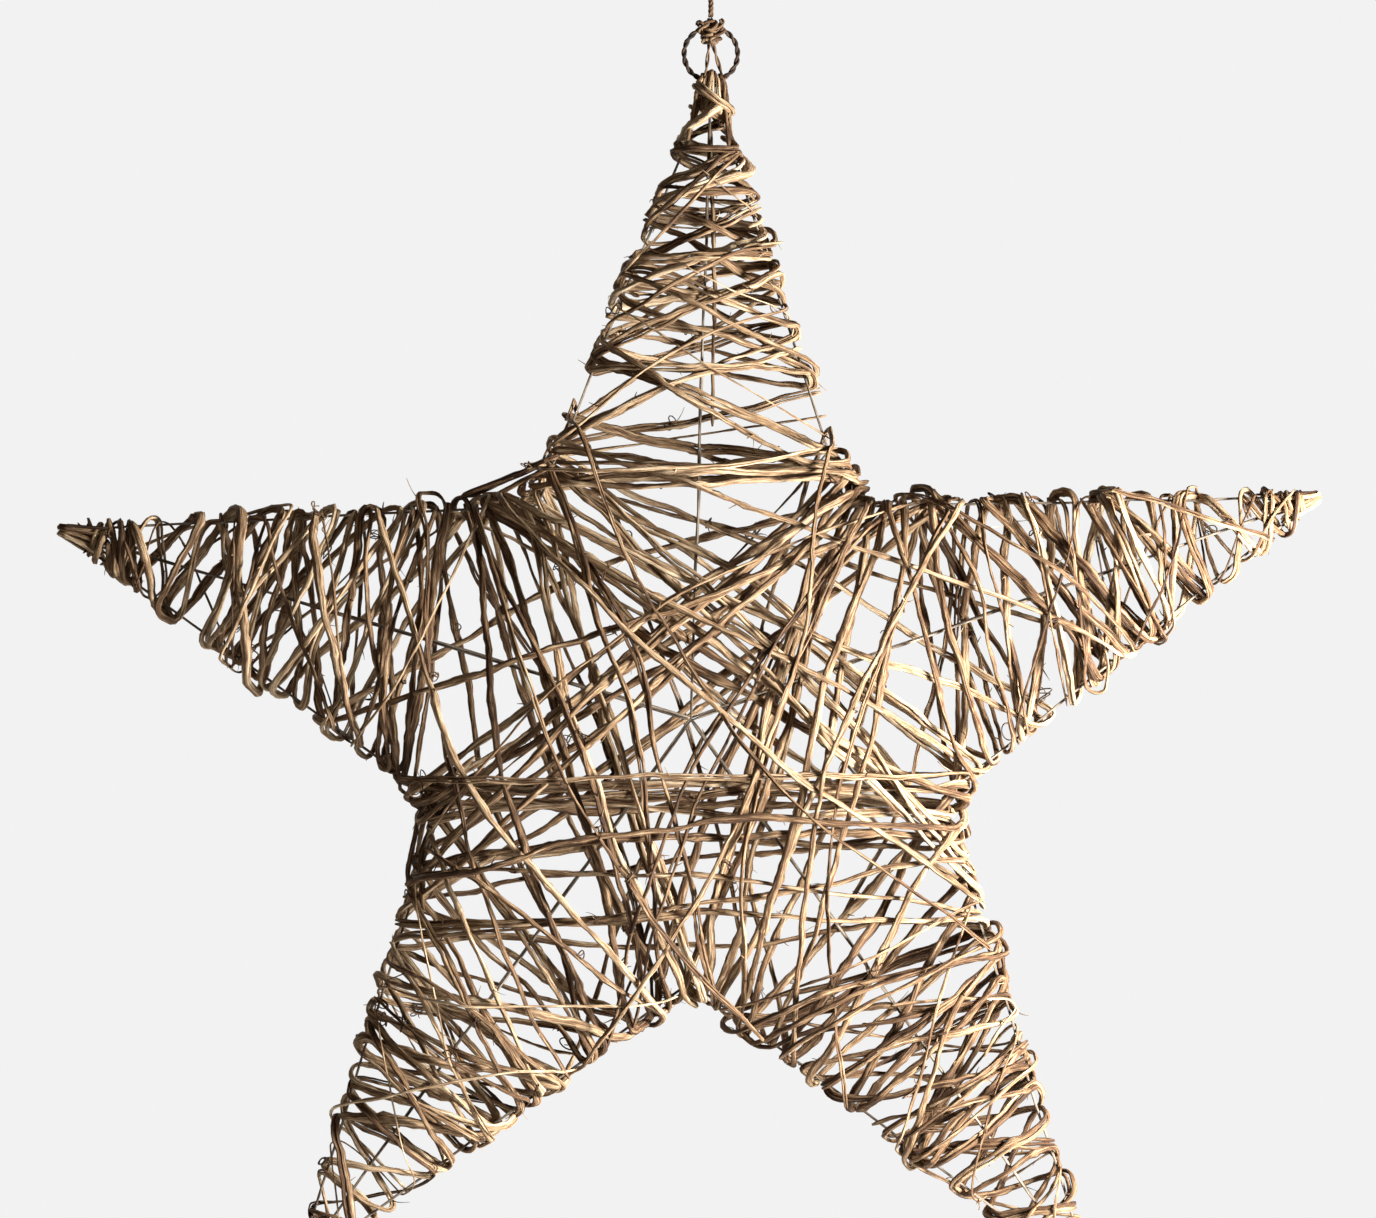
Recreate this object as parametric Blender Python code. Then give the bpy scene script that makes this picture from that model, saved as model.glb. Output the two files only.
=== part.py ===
"""A five-point star wound with grapevine over a wire frame, hung from a vine ring and a cord.

Metres, Z up. The front of the star faces -Y and its width runs along X.
The origin is the inside top of the hanging cord's end loop.
"""
import itertools
import math
import random

import bmesh
import bpy
import numpy as np
from mathutils import Matrix, Vector

MM = 0.001

# The arms, counter-clockwise: how far each tip lies from the star's centre, and how far
# each arm leans from an even star in degrees.
ARM_NAMES = ("top", "left", "left_leg", "right_leg", "right")
ARM_REACHES = (308.0 * MM, 318.5 * MM, 328.0 * MM, 335.0 * MM, 322.5 * MM)
ARM_LEANS = (-1.8, 1.3, 0.3, -0.5, 1.5)
NOTCH_REACH = 127.5 * MM
FRAME_DEPTH = 82.0 * MM

# The least gap that is planned between pieces, and the least that a vine's bends may leave.
CLEARANCE = 0.3 * MM
LEAST_CLEARANCE = 0.12 * MM

# The frame's wires. Every tip is bent blunt, this far short of where its sides would meet.
WIRE_RADIUS = 0.8 * MM
WIRE_SIDES = 4
TIP_BLUNT = 3.4 * MM
JOINT_SPARE = 1.15
BLUNT_SPARE = 1.3

# The wire eye at the top tip, and the ring that it hangs from.
EYE_RADIUS = 3.6 * MM
EYE_STEPS = 12
RING_RADIUS = 13.0 * MM
RING_SECTION = 1.2 * MM
RING_SIDES = 6
RING_STEPS = 24

# The tie that goes through the eye: how far it spreads behind, and its room beside and below.
TIE_RADIUS = 0.5 * MM
TIE_SPREAD = 5.5 * MM
TIE_SLACK = 1.0 * MM
TIE_DIP = 0.2 * MM

# The knot round the ring's top, the cord above it, and the loop at the cord's end.
KNOT_HALF_WIDTH = 6.0 * MM
KNOT_HALF_DEPTH = 4.2 * MM
KNOT_HALF_HEIGHT = 6.5 * MM
KNOT_DROP = 2.0 * MM
KNOT_ROWS = 7
KNOT_COLUMNS = 10
CORD_RADIUS = 1.15 * MM
CORD_LENGTH = 34.0 * MM
CORD_STEPS = 6
CORD_ROUND_STEPS = 2
END_KNOT_RADIUS = 3.0 * MM
LOOP_RADIUS = 7.0 * MM
LOOP_STEPS = 16
SMOOTH_ANGLE = math.radians(50)

# The vines' radii, and how much thinner each vine is at its end.
VINE_RADII = {"thick": 2.6 * MM, "main": 2.0 * MM, "slim": 1.6 * MM}
TAPER = 0.25

# A vine turns round the outline at least this far from a notch or a tip, and ends in a tail.
# Where the outline is taken for this far, it turns on top of the others, a layer further out.
NOTCH_MARGIN = 3.5 * MM
TIP_MARGIN = 6.0 * MM
ANCHOR_STEP = 0.5 * MM
MOST_SHIFT = 9.0 * MM
LAYER = 4.3 * MM
MOST_LAYERS = 3
SHORTEST_TAIL = 1.5 * MM
LONGEST_TAIL = 5.0 * MM

# A pass that bows less than this is straight, and a bowed one bends at these shares of its way.
# Its height is looked up at every sample.
LEAST_BOW = 2.5 * MM
BOW_PLACES = (0, 0.5, 1)
SAMPLE = 1.5 * MM
FAR_SIDE = 2.0 * MM

# Rise of a vine over a sloping one, and over the outline, as shares of the straight rise.
SLOPE_ALLOWANCE = 1.13
CORNER_RISE = 1.12

# Supports: the points where a pass rests on what lies below it.
SUPPORT_SLACK = 0.2 * MM
SUPPORT_SPARE = 0.8 * MM
SUPPORT_SPACING = 5.0 * MM
SUPPORT_GAIN = 1.2
SUPPORT_STEP = 0.05 * MM
SUPPORT_TRIES = 60
BEND_SPARE = 0.8 * MM
EASING = 5.0 * MM
SEED = 3

# Windings round one arm: first and last place along it (0 at its notches, 1 at its tip),
# turns, tilt of the front passes in degrees, kind of vine.
ARM_WINDINGS = (
    (0.10, 0.62, 3.0, 20, "main"),
    (0.66, 0.16, 3.0, -18, "main"),
    (0.36, 0.96, 4.0, 12, "slim"),
    (0.92, 0.44, 3.0, -13, "main"),
    (0.26, 0.56, 2.0, -24, "slim"),
    (0.84, 0.28, 2.5, 17, "main"),
)
ARM_BOW = 0.03
ARM_SPREAD = 0.69
LAST_PLACE = 0.95
TILT_RANGE = 5
PLACE_RANGE = 0.03
FRONT_SHARE = 0.6

# Windings round the middle: the outline positions that the vine visits by turns, how far to either
# side of them it may turn, its passes, its bow and its kind. Outline positions run 0 to 10 from the
# top tip, counter-clockwise, so an odd number is a notch.
BODY_WINDINGS = (
    ("vine_across_lower_body", (2.97, 7.03), 0.06, 5, 0.04, "main"),
    ("vine_notch_weave", (1.05, 6.95, 3.05, 8.95, 4.95), 0.10, 10, 0.06, "main"),
    ("vine_right_notch_fan", (8.95, 5.05, 9.02, 2.95), 0.14, 8, 0.07, "main"),
    ("vine_left_notch_fan", (1.05, 7.05, 0.98, 4.95), 0.14, 8, 0.07, "main"),
    ("vine_left_notch_to_right_leg", (0.97, 6.85, 1.10, 7.25), 0.14, 6, 0.08, "slim"),
    ("vine_right_notch_to_left_leg", (9.03, 3.15, 8.90, 2.75), 0.14, 6, 0.08, "slim"),
    ("vine_across_leg_tops", (3.22, 6.82), 0.12, 5, 0.06, "slim"),
    ("vine_left_shoulder", (1.18, 4.80, 1.25, 2.90), 0.12, 5, 0.06, "slim"),
    ("vine_right_shoulder", (8.82, 5.20, 8.75, 7.05), 0.12, 5, 0.06, "slim"),
    ("vine_across_upper_body", (0.93, 9.04), 0.05, 5, 0.05, "thick"),
    ("vine_front_double", (0.95, 5.03, 1.05), 0.03, 3, 0.09, "slim"),
)


def on_plane(angle, reach):
    """Point of the star's plane at an angle in degrees and a reach from the centre."""
    turn = math.radians(angle)
    return np.array([reach * math.cos(turn), reach * math.sin(turn)])


def star_outline():
    """The ten corners, tip and notch by turns, counter-clockwise from the top tip."""
    angles = [90 + 72 * i + lean for i, lean in enumerate(ARM_LEANS)]
    angles.append(angles[0] + 360)
    corners = []
    for i, reach in enumerate(ARM_REACHES):
        corners.append(on_plane(angles[i], reach))
        corners.append(on_plane((angles[i] + angles[i + 1]) / 2, NOTCH_REACH))
    return np.array(corners)


OUTLINE = star_outline()
EDGE_LENGTHS = [float(np.linalg.norm(OUTLINE[(i + 1) % 10] - OUTLINE[i])) for i in range(10)]

# Heights above the star's centre: the eye, the ring through it, the knot on the ring, the cord's loop.
HANG_X = float(OUTLINE[0][0])
EYE_Z = float(OUTLINE[0][1]) - TIP_BLUNT + EYE_RADIUS
RING_BOTTOM_Z = EYE_Z + EYE_RADIUS - WIRE_RADIUS - CLEARANCE - RING_SECTION
RING_Z = RING_BOTTOM_Z + RING_RADIUS
KNOT_Z = RING_Z + RING_RADIUS - KNOT_DROP
CORD_FOOT_Z = KNOT_Z + KNOT_HALF_HEIGHT + CLEARANCE
END_KNOT_Z = CORD_FOOT_Z + CORD_LENGTH + CLEARANCE + END_KNOT_RADIUS
LOOP_Z = END_KNOT_Z + LOOP_RADIUS + CORD_RADIUS
MOUNT_Z = LOOP_Z + LOOP_RADIUS - CORD_RADIUS


def lifted(place, lift, side):
    """Point of the star at a place of its plane and a height before (1) or behind (-1) it."""
    return np.array([place[0], -side * lift, place[1]])


def rod_distance(a0, a1, b0, b1):
    """Least distance between rods, and where along the first rods it lies."""
    tiny = 1e-15
    d1, d2, r = a1 - a0, b1 - b0, a0 - b0
    a = np.maximum((d1 * d1).sum(-1), tiny)
    e = np.maximum((d2 * d2).sum(-1), tiny)
    b, c, f = (d1 * d2).sum(-1), (d1 * r).sum(-1), (d2 * r).sum(-1)
    den = a * e - b * b
    s = np.clip(np.where(den > tiny * tiny, (b * f - c * e) / np.maximum(den, tiny * tiny), 0.5), 0, 1)
    t = np.clip((b * s + f) / e, 0, 1)
    s = np.clip((b * t - c) / a, 0, 1)
    t = np.clip((b * s + f) / e, 0, 1)
    gap = np.linalg.norm(a0 + s[..., None] * d1 - b0 - t[..., None] * d2, axis=-1)
    return gap, s


def upper_hull(along, heights):
    """Indices of the points that a thread pulled taut over them touches."""
    kept = []
    for i in range(len(along)):
        while len(kept) > 1:
            a, b = kept[-2], kept[-1]
            rise_to_b = (heights[b] - heights[a]) * (along[i] - along[a])
            rise_to_i = (heights[i] - heights[a]) * (along[b] - along[a])
            if rise_to_b > rise_to_i:
                break
            kept.pop()
        kept.append(i)
    return kept


class Pile:
    """Everything laid so far, as short straight rods with a radius."""

    def __init__(self):
        self.starts = np.zeros((0, 3))
        self.ends = np.zeros((0, 3))
        self.radii = np.zeros(0)

    def add(self, points, radius):
        points = np.asarray(points)
        self.starts = np.vstack([self.starts, points[:-1]])
        self.ends = np.vstack([self.ends, points[1:]])
        self.radii = np.concatenate([self.radii, np.full(len(points) - 1, radius)])

    def height(self, places, side, radius):
        """How high a vine's centreline must run at each place to pass over what lies there."""
        nothing = -1.0
        reach = self.radii + radius + CLEARANCE
        start, end = self.starts[:, [0, 2]], self.ends[:, [0, 2]]
        low = np.minimum(start, end) - reach[:, None]
        high = np.maximum(start, end) + reach[:, None]
        start_lift, end_lift = -side * self.starts[:, 1], -side * self.ends[:, 1]
        near = (places.min(0) <= high).all(1) & (places.max(0) >= low).all(1)
        near &= np.maximum(start_lift, end_lift) > -FAR_SIDE
        start, end, reach = start[near], end[near], reach[near]
        start_lift, end_lift = start_lift[near], end_lift[near]
        best = np.full(len(places), nothing)
        if not len(start):
            return best
        along = end - start
        length2 = np.maximum((along * along).sum(1), 1e-12)
        foot = np.clip(((places[:, None, :] - start) * along).sum(2) / length2, 0, 1)
        for share in (foot, np.zeros_like(foot), np.ones_like(foot)):
            off2 = ((places[:, None, :] - start - share[..., None] * along) ** 2).sum(2)
            rise = SLOPE_ALLOWANCE * np.sqrt(np.maximum(reach ** 2 - off2, 0))
            lift = start_lift + share * (end_lift - start_lift) + rise
            best = np.maximum(best, np.where(off2 < reach ** 2, lift, nothing).max(1))
        return best

    def shortfall(self, points, radius):
        """How much nearer than the clearance each rod of a new vine comes, and where along it."""
        first, last = points[:-1, None, :], points[1:, None, :]
        gap, share = rod_distance(first, last, self.starts[None], self.ends[None])
        short = radius + self.radii[None] + LEAST_CLEARANCE - gap
        worst = short.argmax(1)
        rows = np.arange(len(worst))
        return short[rows, worst], share[rows, worst]


class Winder:
    """Lays vines over the frame one after another, each on top of what lies there."""

    def __init__(self, wires):
        self.pile = Pile()
        for wire in wires:
            self.pile.add(wire, WIRE_RADIUS)
        self.random = random.Random(SEED)
        self.failures = []

    def anchor(self, position, radius):
        """The nearest free place on the outline, or on top of others there, and its bend's corner."""
        position %= 10
        number = int(position)
        length = EDGE_LENGTHS[number]
        tip_first = number % 2 == 0
        low = TIP_MARGIN if tip_first else NOTCH_MARGIN
        high = length - (NOTCH_MARGIN if tip_first else TIP_MARGIN)
        wanted = min(max((position - number) * length, low), high)
        start, end = OUTLINE[number], OUTLINE[(number + 1) % 10]
        along = (end - start) / length
        outward = np.array([along[1], -along[0]])
        places = sorted(np.arange(low, high, ANCHOR_STEP), key=lambda place: abs(place - wanted))
        close = [place for place in places if abs(place - wanted) < MOST_SHIFT]
        tries = [(place, layer) for layer in range(MOST_LAYERS) for place in close]
        tries += [(place, 0) for place in places[len(close):]]
        for place, layer in tries:
            point = start + along * place
            corner = point + outward * (WIRE_RADIUS + radius + CLEARANCE + layer * LAYER)
            bend = [self.corner_lift(corner, side, radius) + BEND_SPARE for side in (1, -1)]
            bend = np.array([lifted(corner, bend[0], 1), lifted(corner, bend[1], -1)])
            if self.pile.shortfall(bend, radius)[0].max() <= 0:
                return point, corner
        self.failures.append(("anchor", round(position, 2)))
        return None

    def corner_lift(self, corner, side, radius):
        """Height at which a vine turns round the outline on one side of the star."""
        floor = (WIRE_RADIUS + radius + CLEARANCE) * CORNER_RISE
        return max(floor, float(self.pile.height(corner[None], side, radius)[0]))

    def lay(self, route, side, radius):
        """One pass over the front or the back along a route of the plane, pulled taut."""
        places, knots = [route[0]], [0]
        for a, b in zip(route[:-1], route[1:]):
            count = max(1, int(np.linalg.norm(b - a) / SAMPLE))
            places += [a + (b - a) * k / count for k in range(1, count + 1)]
            knots.append(len(places) - 1)
        places = np.array(places)
        steps = np.linalg.norm(np.diff(places, axis=0), axis=1)
        along = np.concatenate([[0], np.cumsum(steps)])
        heights = self.pile.height(places, side, radius)
        heights[0] = self.corner_lift(route[0], side, radius)
        heights[-1] = self.corner_lift(route[-1], side, radius)
        hull = upper_hull(along, heights)
        lifts = np.interp(along, along[hull], heights[hull])
        chosen = {k: lifts[k] for k in knots}
        for _ in range(SUPPORT_TRIES):
            picked = sorted(chosen)
            level = np.interp(along, along[picked], [chosen[k] for k in picked])
            short = heights - level
            worst = int(short.argmax())
            if short[worst] > SUPPORT_SLACK:
                chosen[worst] = heights[worst] + SUPPORT_SPARE
                continue
            line = np.array([lifted(places[k], chosen[k], side) for k in picked])
            short, share = self.pile.shortfall(line, radius)
            if short.max() <= 0:
                return self.eased(line, radius)
            for k in np.nonzero(short > 0)[0]:
                low, high = picked[k], picked[k + 1]
                spot = int(round(low + share[k] * (high - low)))
                more = SUPPORT_GAIN * short[k] + SUPPORT_STEP
                if high - low > 2 and min(spot - low, high - spot) * SAMPLE > SUPPORT_SPACING:
                    chosen[spot] = level[spot] + more
                else:
                    nearest = low if spot - low < high - spot else high
                    chosen[nearest] += more
        self.failures.append(("pass", side, round(float(short.max() / MM), 2)))
        return line

    def eased(self, line, radius):
        """The same pass without the bends that it can spare and still clear the pile."""
        k = 1
        while k < len(line) - 1:
            straight = np.array([line[k - 1], line[k + 1]])
            chord = straight[1] - straight[0]
            share = np.clip((line[k] - straight[0]) @ chord / (chord @ chord), 0, 1)
            off = np.linalg.norm(line[k] - straight[0] - share * chord)
            if off < EASING and self.pile.shortfall(straight, radius)[0].max() <= 0:
                line = np.delete(line, k, axis=0)
                k = max(1, k - 1)
            else:
                k += 1
        return line

    def wind(self, positions, radius, side, bow):
        """A vine through outline positions, passing over the front and the back by turns."""
        here = self.anchor(positions[0], radius)
        vine = None
        for k, position in enumerate(positions[1:]):
            there = self.anchor(position, radius)
            if there is None:
                break
            start, end = here[1], there[1]
            across = (end - start) / np.linalg.norm(end - start)
            if k == 0:
                start = here[0] - across * self.random.uniform(SHORTEST_TAIL, LONGEST_TAIL)
            if k == len(positions) - 2:
                end = there[0] + across * self.random.uniform(SHORTEST_TAIL, LONGEST_TAIL)
            offset = np.linalg.norm(end - start) * bow * self.random.uniform(-1, 1)
            places = BOW_PLACES if abs(offset) > LEAST_BOW else (0, 1)
            sideways = offset * np.array([-across[1], across[0]])
            route = [start + (end - start) * place + sideways * 4 * place * (1 - place) for place in places]
            line = self.lay(route, side, radius)
            if vine is None:
                vine = line
            else:
                self.pile.add(np.array([vine[-1], line[0]]), radius)
                vine = np.vstack([vine, line])
            self.pile.add(line, radius)
            here = there
            side = -side
        return vine


def frame_joints():
    """Where the frame's wires meet: the ten corners, then the front peak and the back peak."""
    corners = [lifted(corner, 0, 1) for corner in OUTLINE]
    return corners + [lifted((0, 0), FRAME_DEPTH / 2, side) for side in (1, -1)]


def frame_wires():
    """The frame's wires as pairs of joints: the outline, and ridges from both peaks to the tips."""
    wires = [(i, (i + 1) % 10) for i in range(10)]
    return wires + [(peak, tip) for peak in (10, 11) for tip in range(0, 10, 2)]


def arm_positions(arm, first, last, turns, tilt, left_first):
    """Outline positions of a winding round one arm."""
    passes = int(round(turns * 2))
    lean = ARM_SPREAD * math.tan(math.radians(tilt)) / 2
    positions = []
    for k in range(passes + 1):
        place = first + (last - first) * k / passes
        on_left = (k % 2 == 0) == left_first
        place += (lean if on_left else -lean) * (1 - place)
        place = min(place, LAST_PLACE)
        positions.append(2 * arm + (1 - place if on_left else place - 1))
    return positions


def body_positions(visited, spread, passes, dice):
    """Outline positions of a winding round the middle, a little to either side on each round."""
    places = [visited[k % len(visited)] for k in range(passes + 1)]
    return [place + dice.uniform(-spread, spread) for place in places]


def wind_star():
    """Every vine as its name, centreline and radius, in the order they are laid."""
    joints = frame_joints()
    winder = Winder([np.array([joints[a], joints[b]]) for a, b in frame_wires()])
    dice = winder.random
    vines = []
    for number, (first, last, turns, tilt, kind) in enumerate(ARM_WINDINGS):
        if number == 1:
            for name, visited, spread, passes, bow, body_kind in BODY_WINDINGS:
                positions = body_positions(visited, spread, passes, dice)
                line = winder.wind(positions, VINE_RADII[body_kind], 1, bow)
                vines.append((name, line, VINE_RADII[body_kind]))
        for arm, arm_name in enumerate(ARM_NAMES):
            lean = tilt * (-1 if arm % 2 else 1) + dice.uniform(-TILT_RANGE, TILT_RANGE)
            shift = dice.uniform(-PLACE_RANGE, PLACE_RANGE)
            positions = arm_positions(arm, first + shift, last + shift, turns, lean, dice.random() < 0.5)
            side = 1 if dice.random() < FRONT_SHARE else -1
            line = winder.wind(positions, VINE_RADII[kind], side, ARM_BOW)
            vines.append((f"vine_{arm_name}_{number + 1}", line, VINE_RADII[kind]))
    return vines, winder.failures


def new_material(name, colour, roughness, metallic):
    """A Principled material."""
    material = bpy.data.materials.new(name)
    material.use_nodes = True
    shader = material.node_tree.nodes["Principled BSDF"]
    shader.inputs["Base Color"].default_value = (*colour, 1)
    shader.inputs["Roughness"].default_value = roughness
    shader.inputs["Metallic"].default_value = metallic
    material.diffuse_color = (*colour, 1)
    return material


def place_object(name, data, material, parent):
    """An object in the scene under the star's centre."""
    data.materials.append(material)
    item = bpy.data.objects.new(name, data)
    bpy.context.collection.objects.link(item)
    item.parent = parent
    return item


def tube(name, points, radius, material, parent, roundness=0, taper=0.0):
    """A tube along a line of points, thinner towards its end by the taper."""
    curve = bpy.data.curves.new(name, "CURVE")
    curve.dimensions = "3D"
    curve.bevel_depth = radius
    curve.bevel_resolution = roundness
    curve.use_fill_caps = True
    spline = curve.splines.new("POLY")
    spline.points.add(len(points) - 1)
    for k, point in enumerate(points):
        spline.points[k].co = (*[float(value) for value in point], 1)
        spline.points[k].radius = 1 - taper * k / (len(points) - 1)
    return place_object(name, curve, material, parent)


def mesh_object(name, build, material, parent):
    """A smooth mesh object from a function that fills a bmesh."""
    shape = bmesh.new()
    build(shape)
    data = bpy.data.meshes.new(name)
    shape.to_mesh(data)
    shape.free()
    data.shade_smooth()
    data.set_sharp_from_angle(angle=SMOOTH_ANGLE)
    return place_object(name, data, material, parent)


def add_ring(shape, centre, radius, section, steps, across_x=False):
    """A ring whose plane is the star's own, or stands across the X axis."""
    side = Vector((0, 1, 0)) if across_x else Vector((1, 0, 0))
    axis = Vector((1, 0, 0)) if across_x else Vector((0, 1, 0))
    rows = []
    for k in range(steps):
        turn = math.tau * (k + 0.5) / steps
        outward = side * math.cos(turn) + Vector((0, 0, math.sin(turn)))
        row = []
        for j in range(RING_SIDES):
            round_turn = math.tau * j / RING_SIDES
            offset = outward * math.cos(round_turn) + axis * math.sin(round_turn)
            row.append(shape.verts.new(Vector(centre) + outward * radius + offset * section))
        rows.append(row)
    for k, row in enumerate(rows):
        join_rows(shape, row, rows[(k + 1) % steps])
    bmesh.ops.recalc_face_normals(shape, faces=shape.faces)


def join_rows(shape, row, next_row):
    """The faces between two closed rows of as many points."""
    for j in range(len(row)):
        after = (j + 1) % len(row)
        shape.faces.new((row[j], row[after], next_row[after], next_row[j]))


def add_bead(shape, centre, half_sizes):
    """An egg-shaped bead."""
    matrix = Matrix.Translation(centre) @ Matrix.Diagonal((*half_sizes, 1))
    bmesh.ops.create_uvsphere(shape, u_segments=KNOT_COLUMNS, v_segments=KNOT_ROWS, radius=1, matrix=matrix)


def join_or_cut(item, cutter, operation):
    """Joins a hidden guide to an object, or cuts it out of it."""
    cutter.hide_render = True
    cutter.display_type = "WIRE"
    modifier = item.modifiers.new(cutter.name, "BOOLEAN")
    modifier.operation = operation
    modifier.solver = "EXACT"
    modifier.object = cutter


def joint_reach(joint, joints, wires):
    """How far from a joint its wires' ends lie clear of one another."""
    ends = [wire[1] if wire[0] == joint else wire[0] for wire in wires if joint in wire]
    directions = [Vector(joints[end] - joints[joint]) for end in ends]
    narrowest = min(a.angle(b) for a, b in itertools.combinations(directions, 2))
    return max(JOINT_SPARE * WIRE_RADIUS / math.tan(narrowest / 2), BLUNT_SPARE * TIP_BLUNT)


def blunt_end(tip):
    """The corners of a tip's blunt end."""
    arm = OUTLINE[tip] / np.linalg.norm(OUTLINE[tip])
    corners = []
    for neighbour in (tip - 1, tip + 1):
        edge = OUTLINE[neighbour] - OUTLINE[tip]
        place = OUTLINE[tip] + edge * TIP_BLUNT / float(-edge @ arm)
        corners += [lifted(place, WIRE_RADIUS, side) for side in (1, -1)]
    return corners


def add_frame(shape):
    """The wires of the star, each joint a convex bead that its wires run into."""
    joints, wires = frame_joints(), frame_wires()
    rows_at = [[] for _ in joints]
    for a, b in wires:
        along = Vector(joints[b] - joints[a]).normalized()
        across = along.orthogonal().normalized()
        rows = []
        for joint, direction in ((a, along), (b, -along)):
            centre = Vector(joints[joint]) + direction * joint_reach(joint, joints, wires)
            row = []
            for j in range(WIRE_SIDES):
                turn = math.tau * j / WIRE_SIDES
                offset = across * math.cos(turn) + along.cross(across) * math.sin(turn)
                row.append(shape.verts.new(centre + offset * WIRE_RADIUS))
            rows_at[joint].append(row)
            rows.append(row)
        join_rows(shape, *rows)
    for joint, rows in enumerate(rows_at):
        points = [point for row in rows for point in row]
        if joint < 10 and joint % 2 == 0:
            points += [shape.verts.new(corner) for corner in blunt_end(joint)]
        hull = bmesh.ops.convex_hull(shape, input=points)["geom"]
        ends = [face for face in hull if isinstance(face, bmesh.types.BMFace)
                and any(set(face.verts) <= set(row) for row in rows)]
        bmesh.ops.delete(shape, geom=ends, context="FACES_ONLY")
    bmesh.ops.recalc_face_normals(shape, faces=shape.faces)


def make_wire_frame(material, parent):
    """The star of wires: outline, front and back ridges, and the eye at the top tip."""
    frame = mesh_object("wire_frame", add_frame, material, parent)
    eye_centre = (HANG_X, 0, EYE_Z)
    eye = mesh_object(
        "wire_eye", lambda shape: add_ring(shape, eye_centre, EYE_RADIUS, WIRE_RADIUS, EYE_STEPS, True),
        material, parent
    )
    join_or_cut(frame, eye, "UNION")


def tie_line():
    """The tie's way: down from the knot before the ring, through the eye under it, and up behind."""
    off = RING_SECTION + TIE_RADIUS + CLEARANCE
    beside_eye = WIRE_RADIUS + TIE_RADIUS + CLEARANCE + TIE_SLACK
    top = KNOT_Z - KNOT_HALF_HEIGHT - CLEARANCE - TIE_RADIUS
    bottom = RING_BOTTOM_Z - off - TIE_DIP
    return [
        (HANG_X - TIE_RADIUS - CLEARANCE, 0, top),
        (HANG_X - beside_eye, -off, RING_BOTTOM_Z + off),
        (HANG_X - beside_eye, -off, RING_BOTTOM_Z - off / 2),
        (HANG_X - beside_eye, 0, bottom),
        (HANG_X + beside_eye, 0, bottom),
        (HANG_X + TIE_SPREAD, off, RING_BOTTOM_Z - off / 2),
        (HANG_X + TIE_SPREAD, off, RING_BOTTOM_Z + off),
        (HANG_X + TIE_RADIUS + CLEARANCE, 0, top),
    ]


def make_hanger(ring_material, twine_material, parent):
    """The ring, the knot on it, the cord with its end loop, and the tie down to the apex."""
    ring_centre = (HANG_X, 0, RING_Z)
    mesh_object(
        "hanging_ring", lambda shape: add_ring(shape, ring_centre, RING_RADIUS, RING_SECTION, RING_STEPS),
        ring_material, parent
    )
    knot_size = (KNOT_HALF_WIDTH, KNOT_HALF_DEPTH, KNOT_HALF_HEIGHT)
    knot = mesh_object(
        "cord_knot", lambda shape: add_bead(shape, (HANG_X, 0, KNOT_Z), knot_size), twine_material, parent
    )
    channel = mesh_object(
        "ring_channel",
        lambda shape: add_ring(shape, ring_centre, RING_RADIUS, RING_SECTION + CLEARANCE, RING_STEPS),
        twine_material, parent
    )
    join_or_cut(knot, channel, "DIFFERENCE")

    cord = [(HANG_X, 0, CORD_FOOT_Z + CORD_LENGTH * k / CORD_STEPS) for k in range(CORD_STEPS + 1)]
    tube("hanging_cord", cord, CORD_RADIUS, twine_material, parent, roundness=CORD_ROUND_STEPS)

    loop_centre = (HANG_X, 0, LOOP_Z)
    loop = mesh_object(
        "cord_loop", lambda shape: add_ring(shape, loop_centre, LOOP_RADIUS, CORD_RADIUS, LOOP_STEPS),
        twine_material, parent
    )
    end_size = (END_KNOT_RADIUS, END_KNOT_RADIUS, END_KNOT_RADIUS)
    end_knot = mesh_object(
        "end_knot", lambda shape: add_bead(shape, (HANG_X, 0, END_KNOT_Z), end_size), twine_material, parent
    )
    join_or_cut(loop, end_knot, "UNION")
    tube("apex_tie", tie_line(), TIE_RADIUS, twine_material, parent)


def main():
    for item in list(bpy.data.objects):
        bpy.data.objects.remove(item)
    vine = new_material("vine", (0.36, 0.24, 0.13), 0.8, 0.0)
    wire = new_material("frame_wire", (0.12, 0.1, 0.09), 0.5, 0.8)
    ring = new_material("ring_vine", (0.14, 0.08, 0.05), 0.75, 0.0)
    twine = new_material("twine", (0.45, 0.33, 0.2), 0.9, 0.0)
    centre = bpy.data.objects.new("star_centre", None)
    bpy.context.collection.objects.link(centre)
    centre.location = (-HANG_X, 0, -MOUNT_Z)
    make_wire_frame(wire, centre)
    make_hanger(ring, twine, centre)
    vines, failures = wind_star()
    for name, line, radius in vines:
        tube(name, line, radius, vine, centre, taper=TAPER)
    for failure in failures:
        print("vine not laid as wanted:", failure)


main()
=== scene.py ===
"""Looks of the grapevine star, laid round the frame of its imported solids.

Metres, Z up. The front of the star faces -Y. Every vine is wound again as the solids wind it,
with bark and bends, and the thinner vines that the solids leave out are wound on top.
"""
import math
import random

import bpy
import numpy as np
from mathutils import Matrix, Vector
from numpy.linalg import norm


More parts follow.
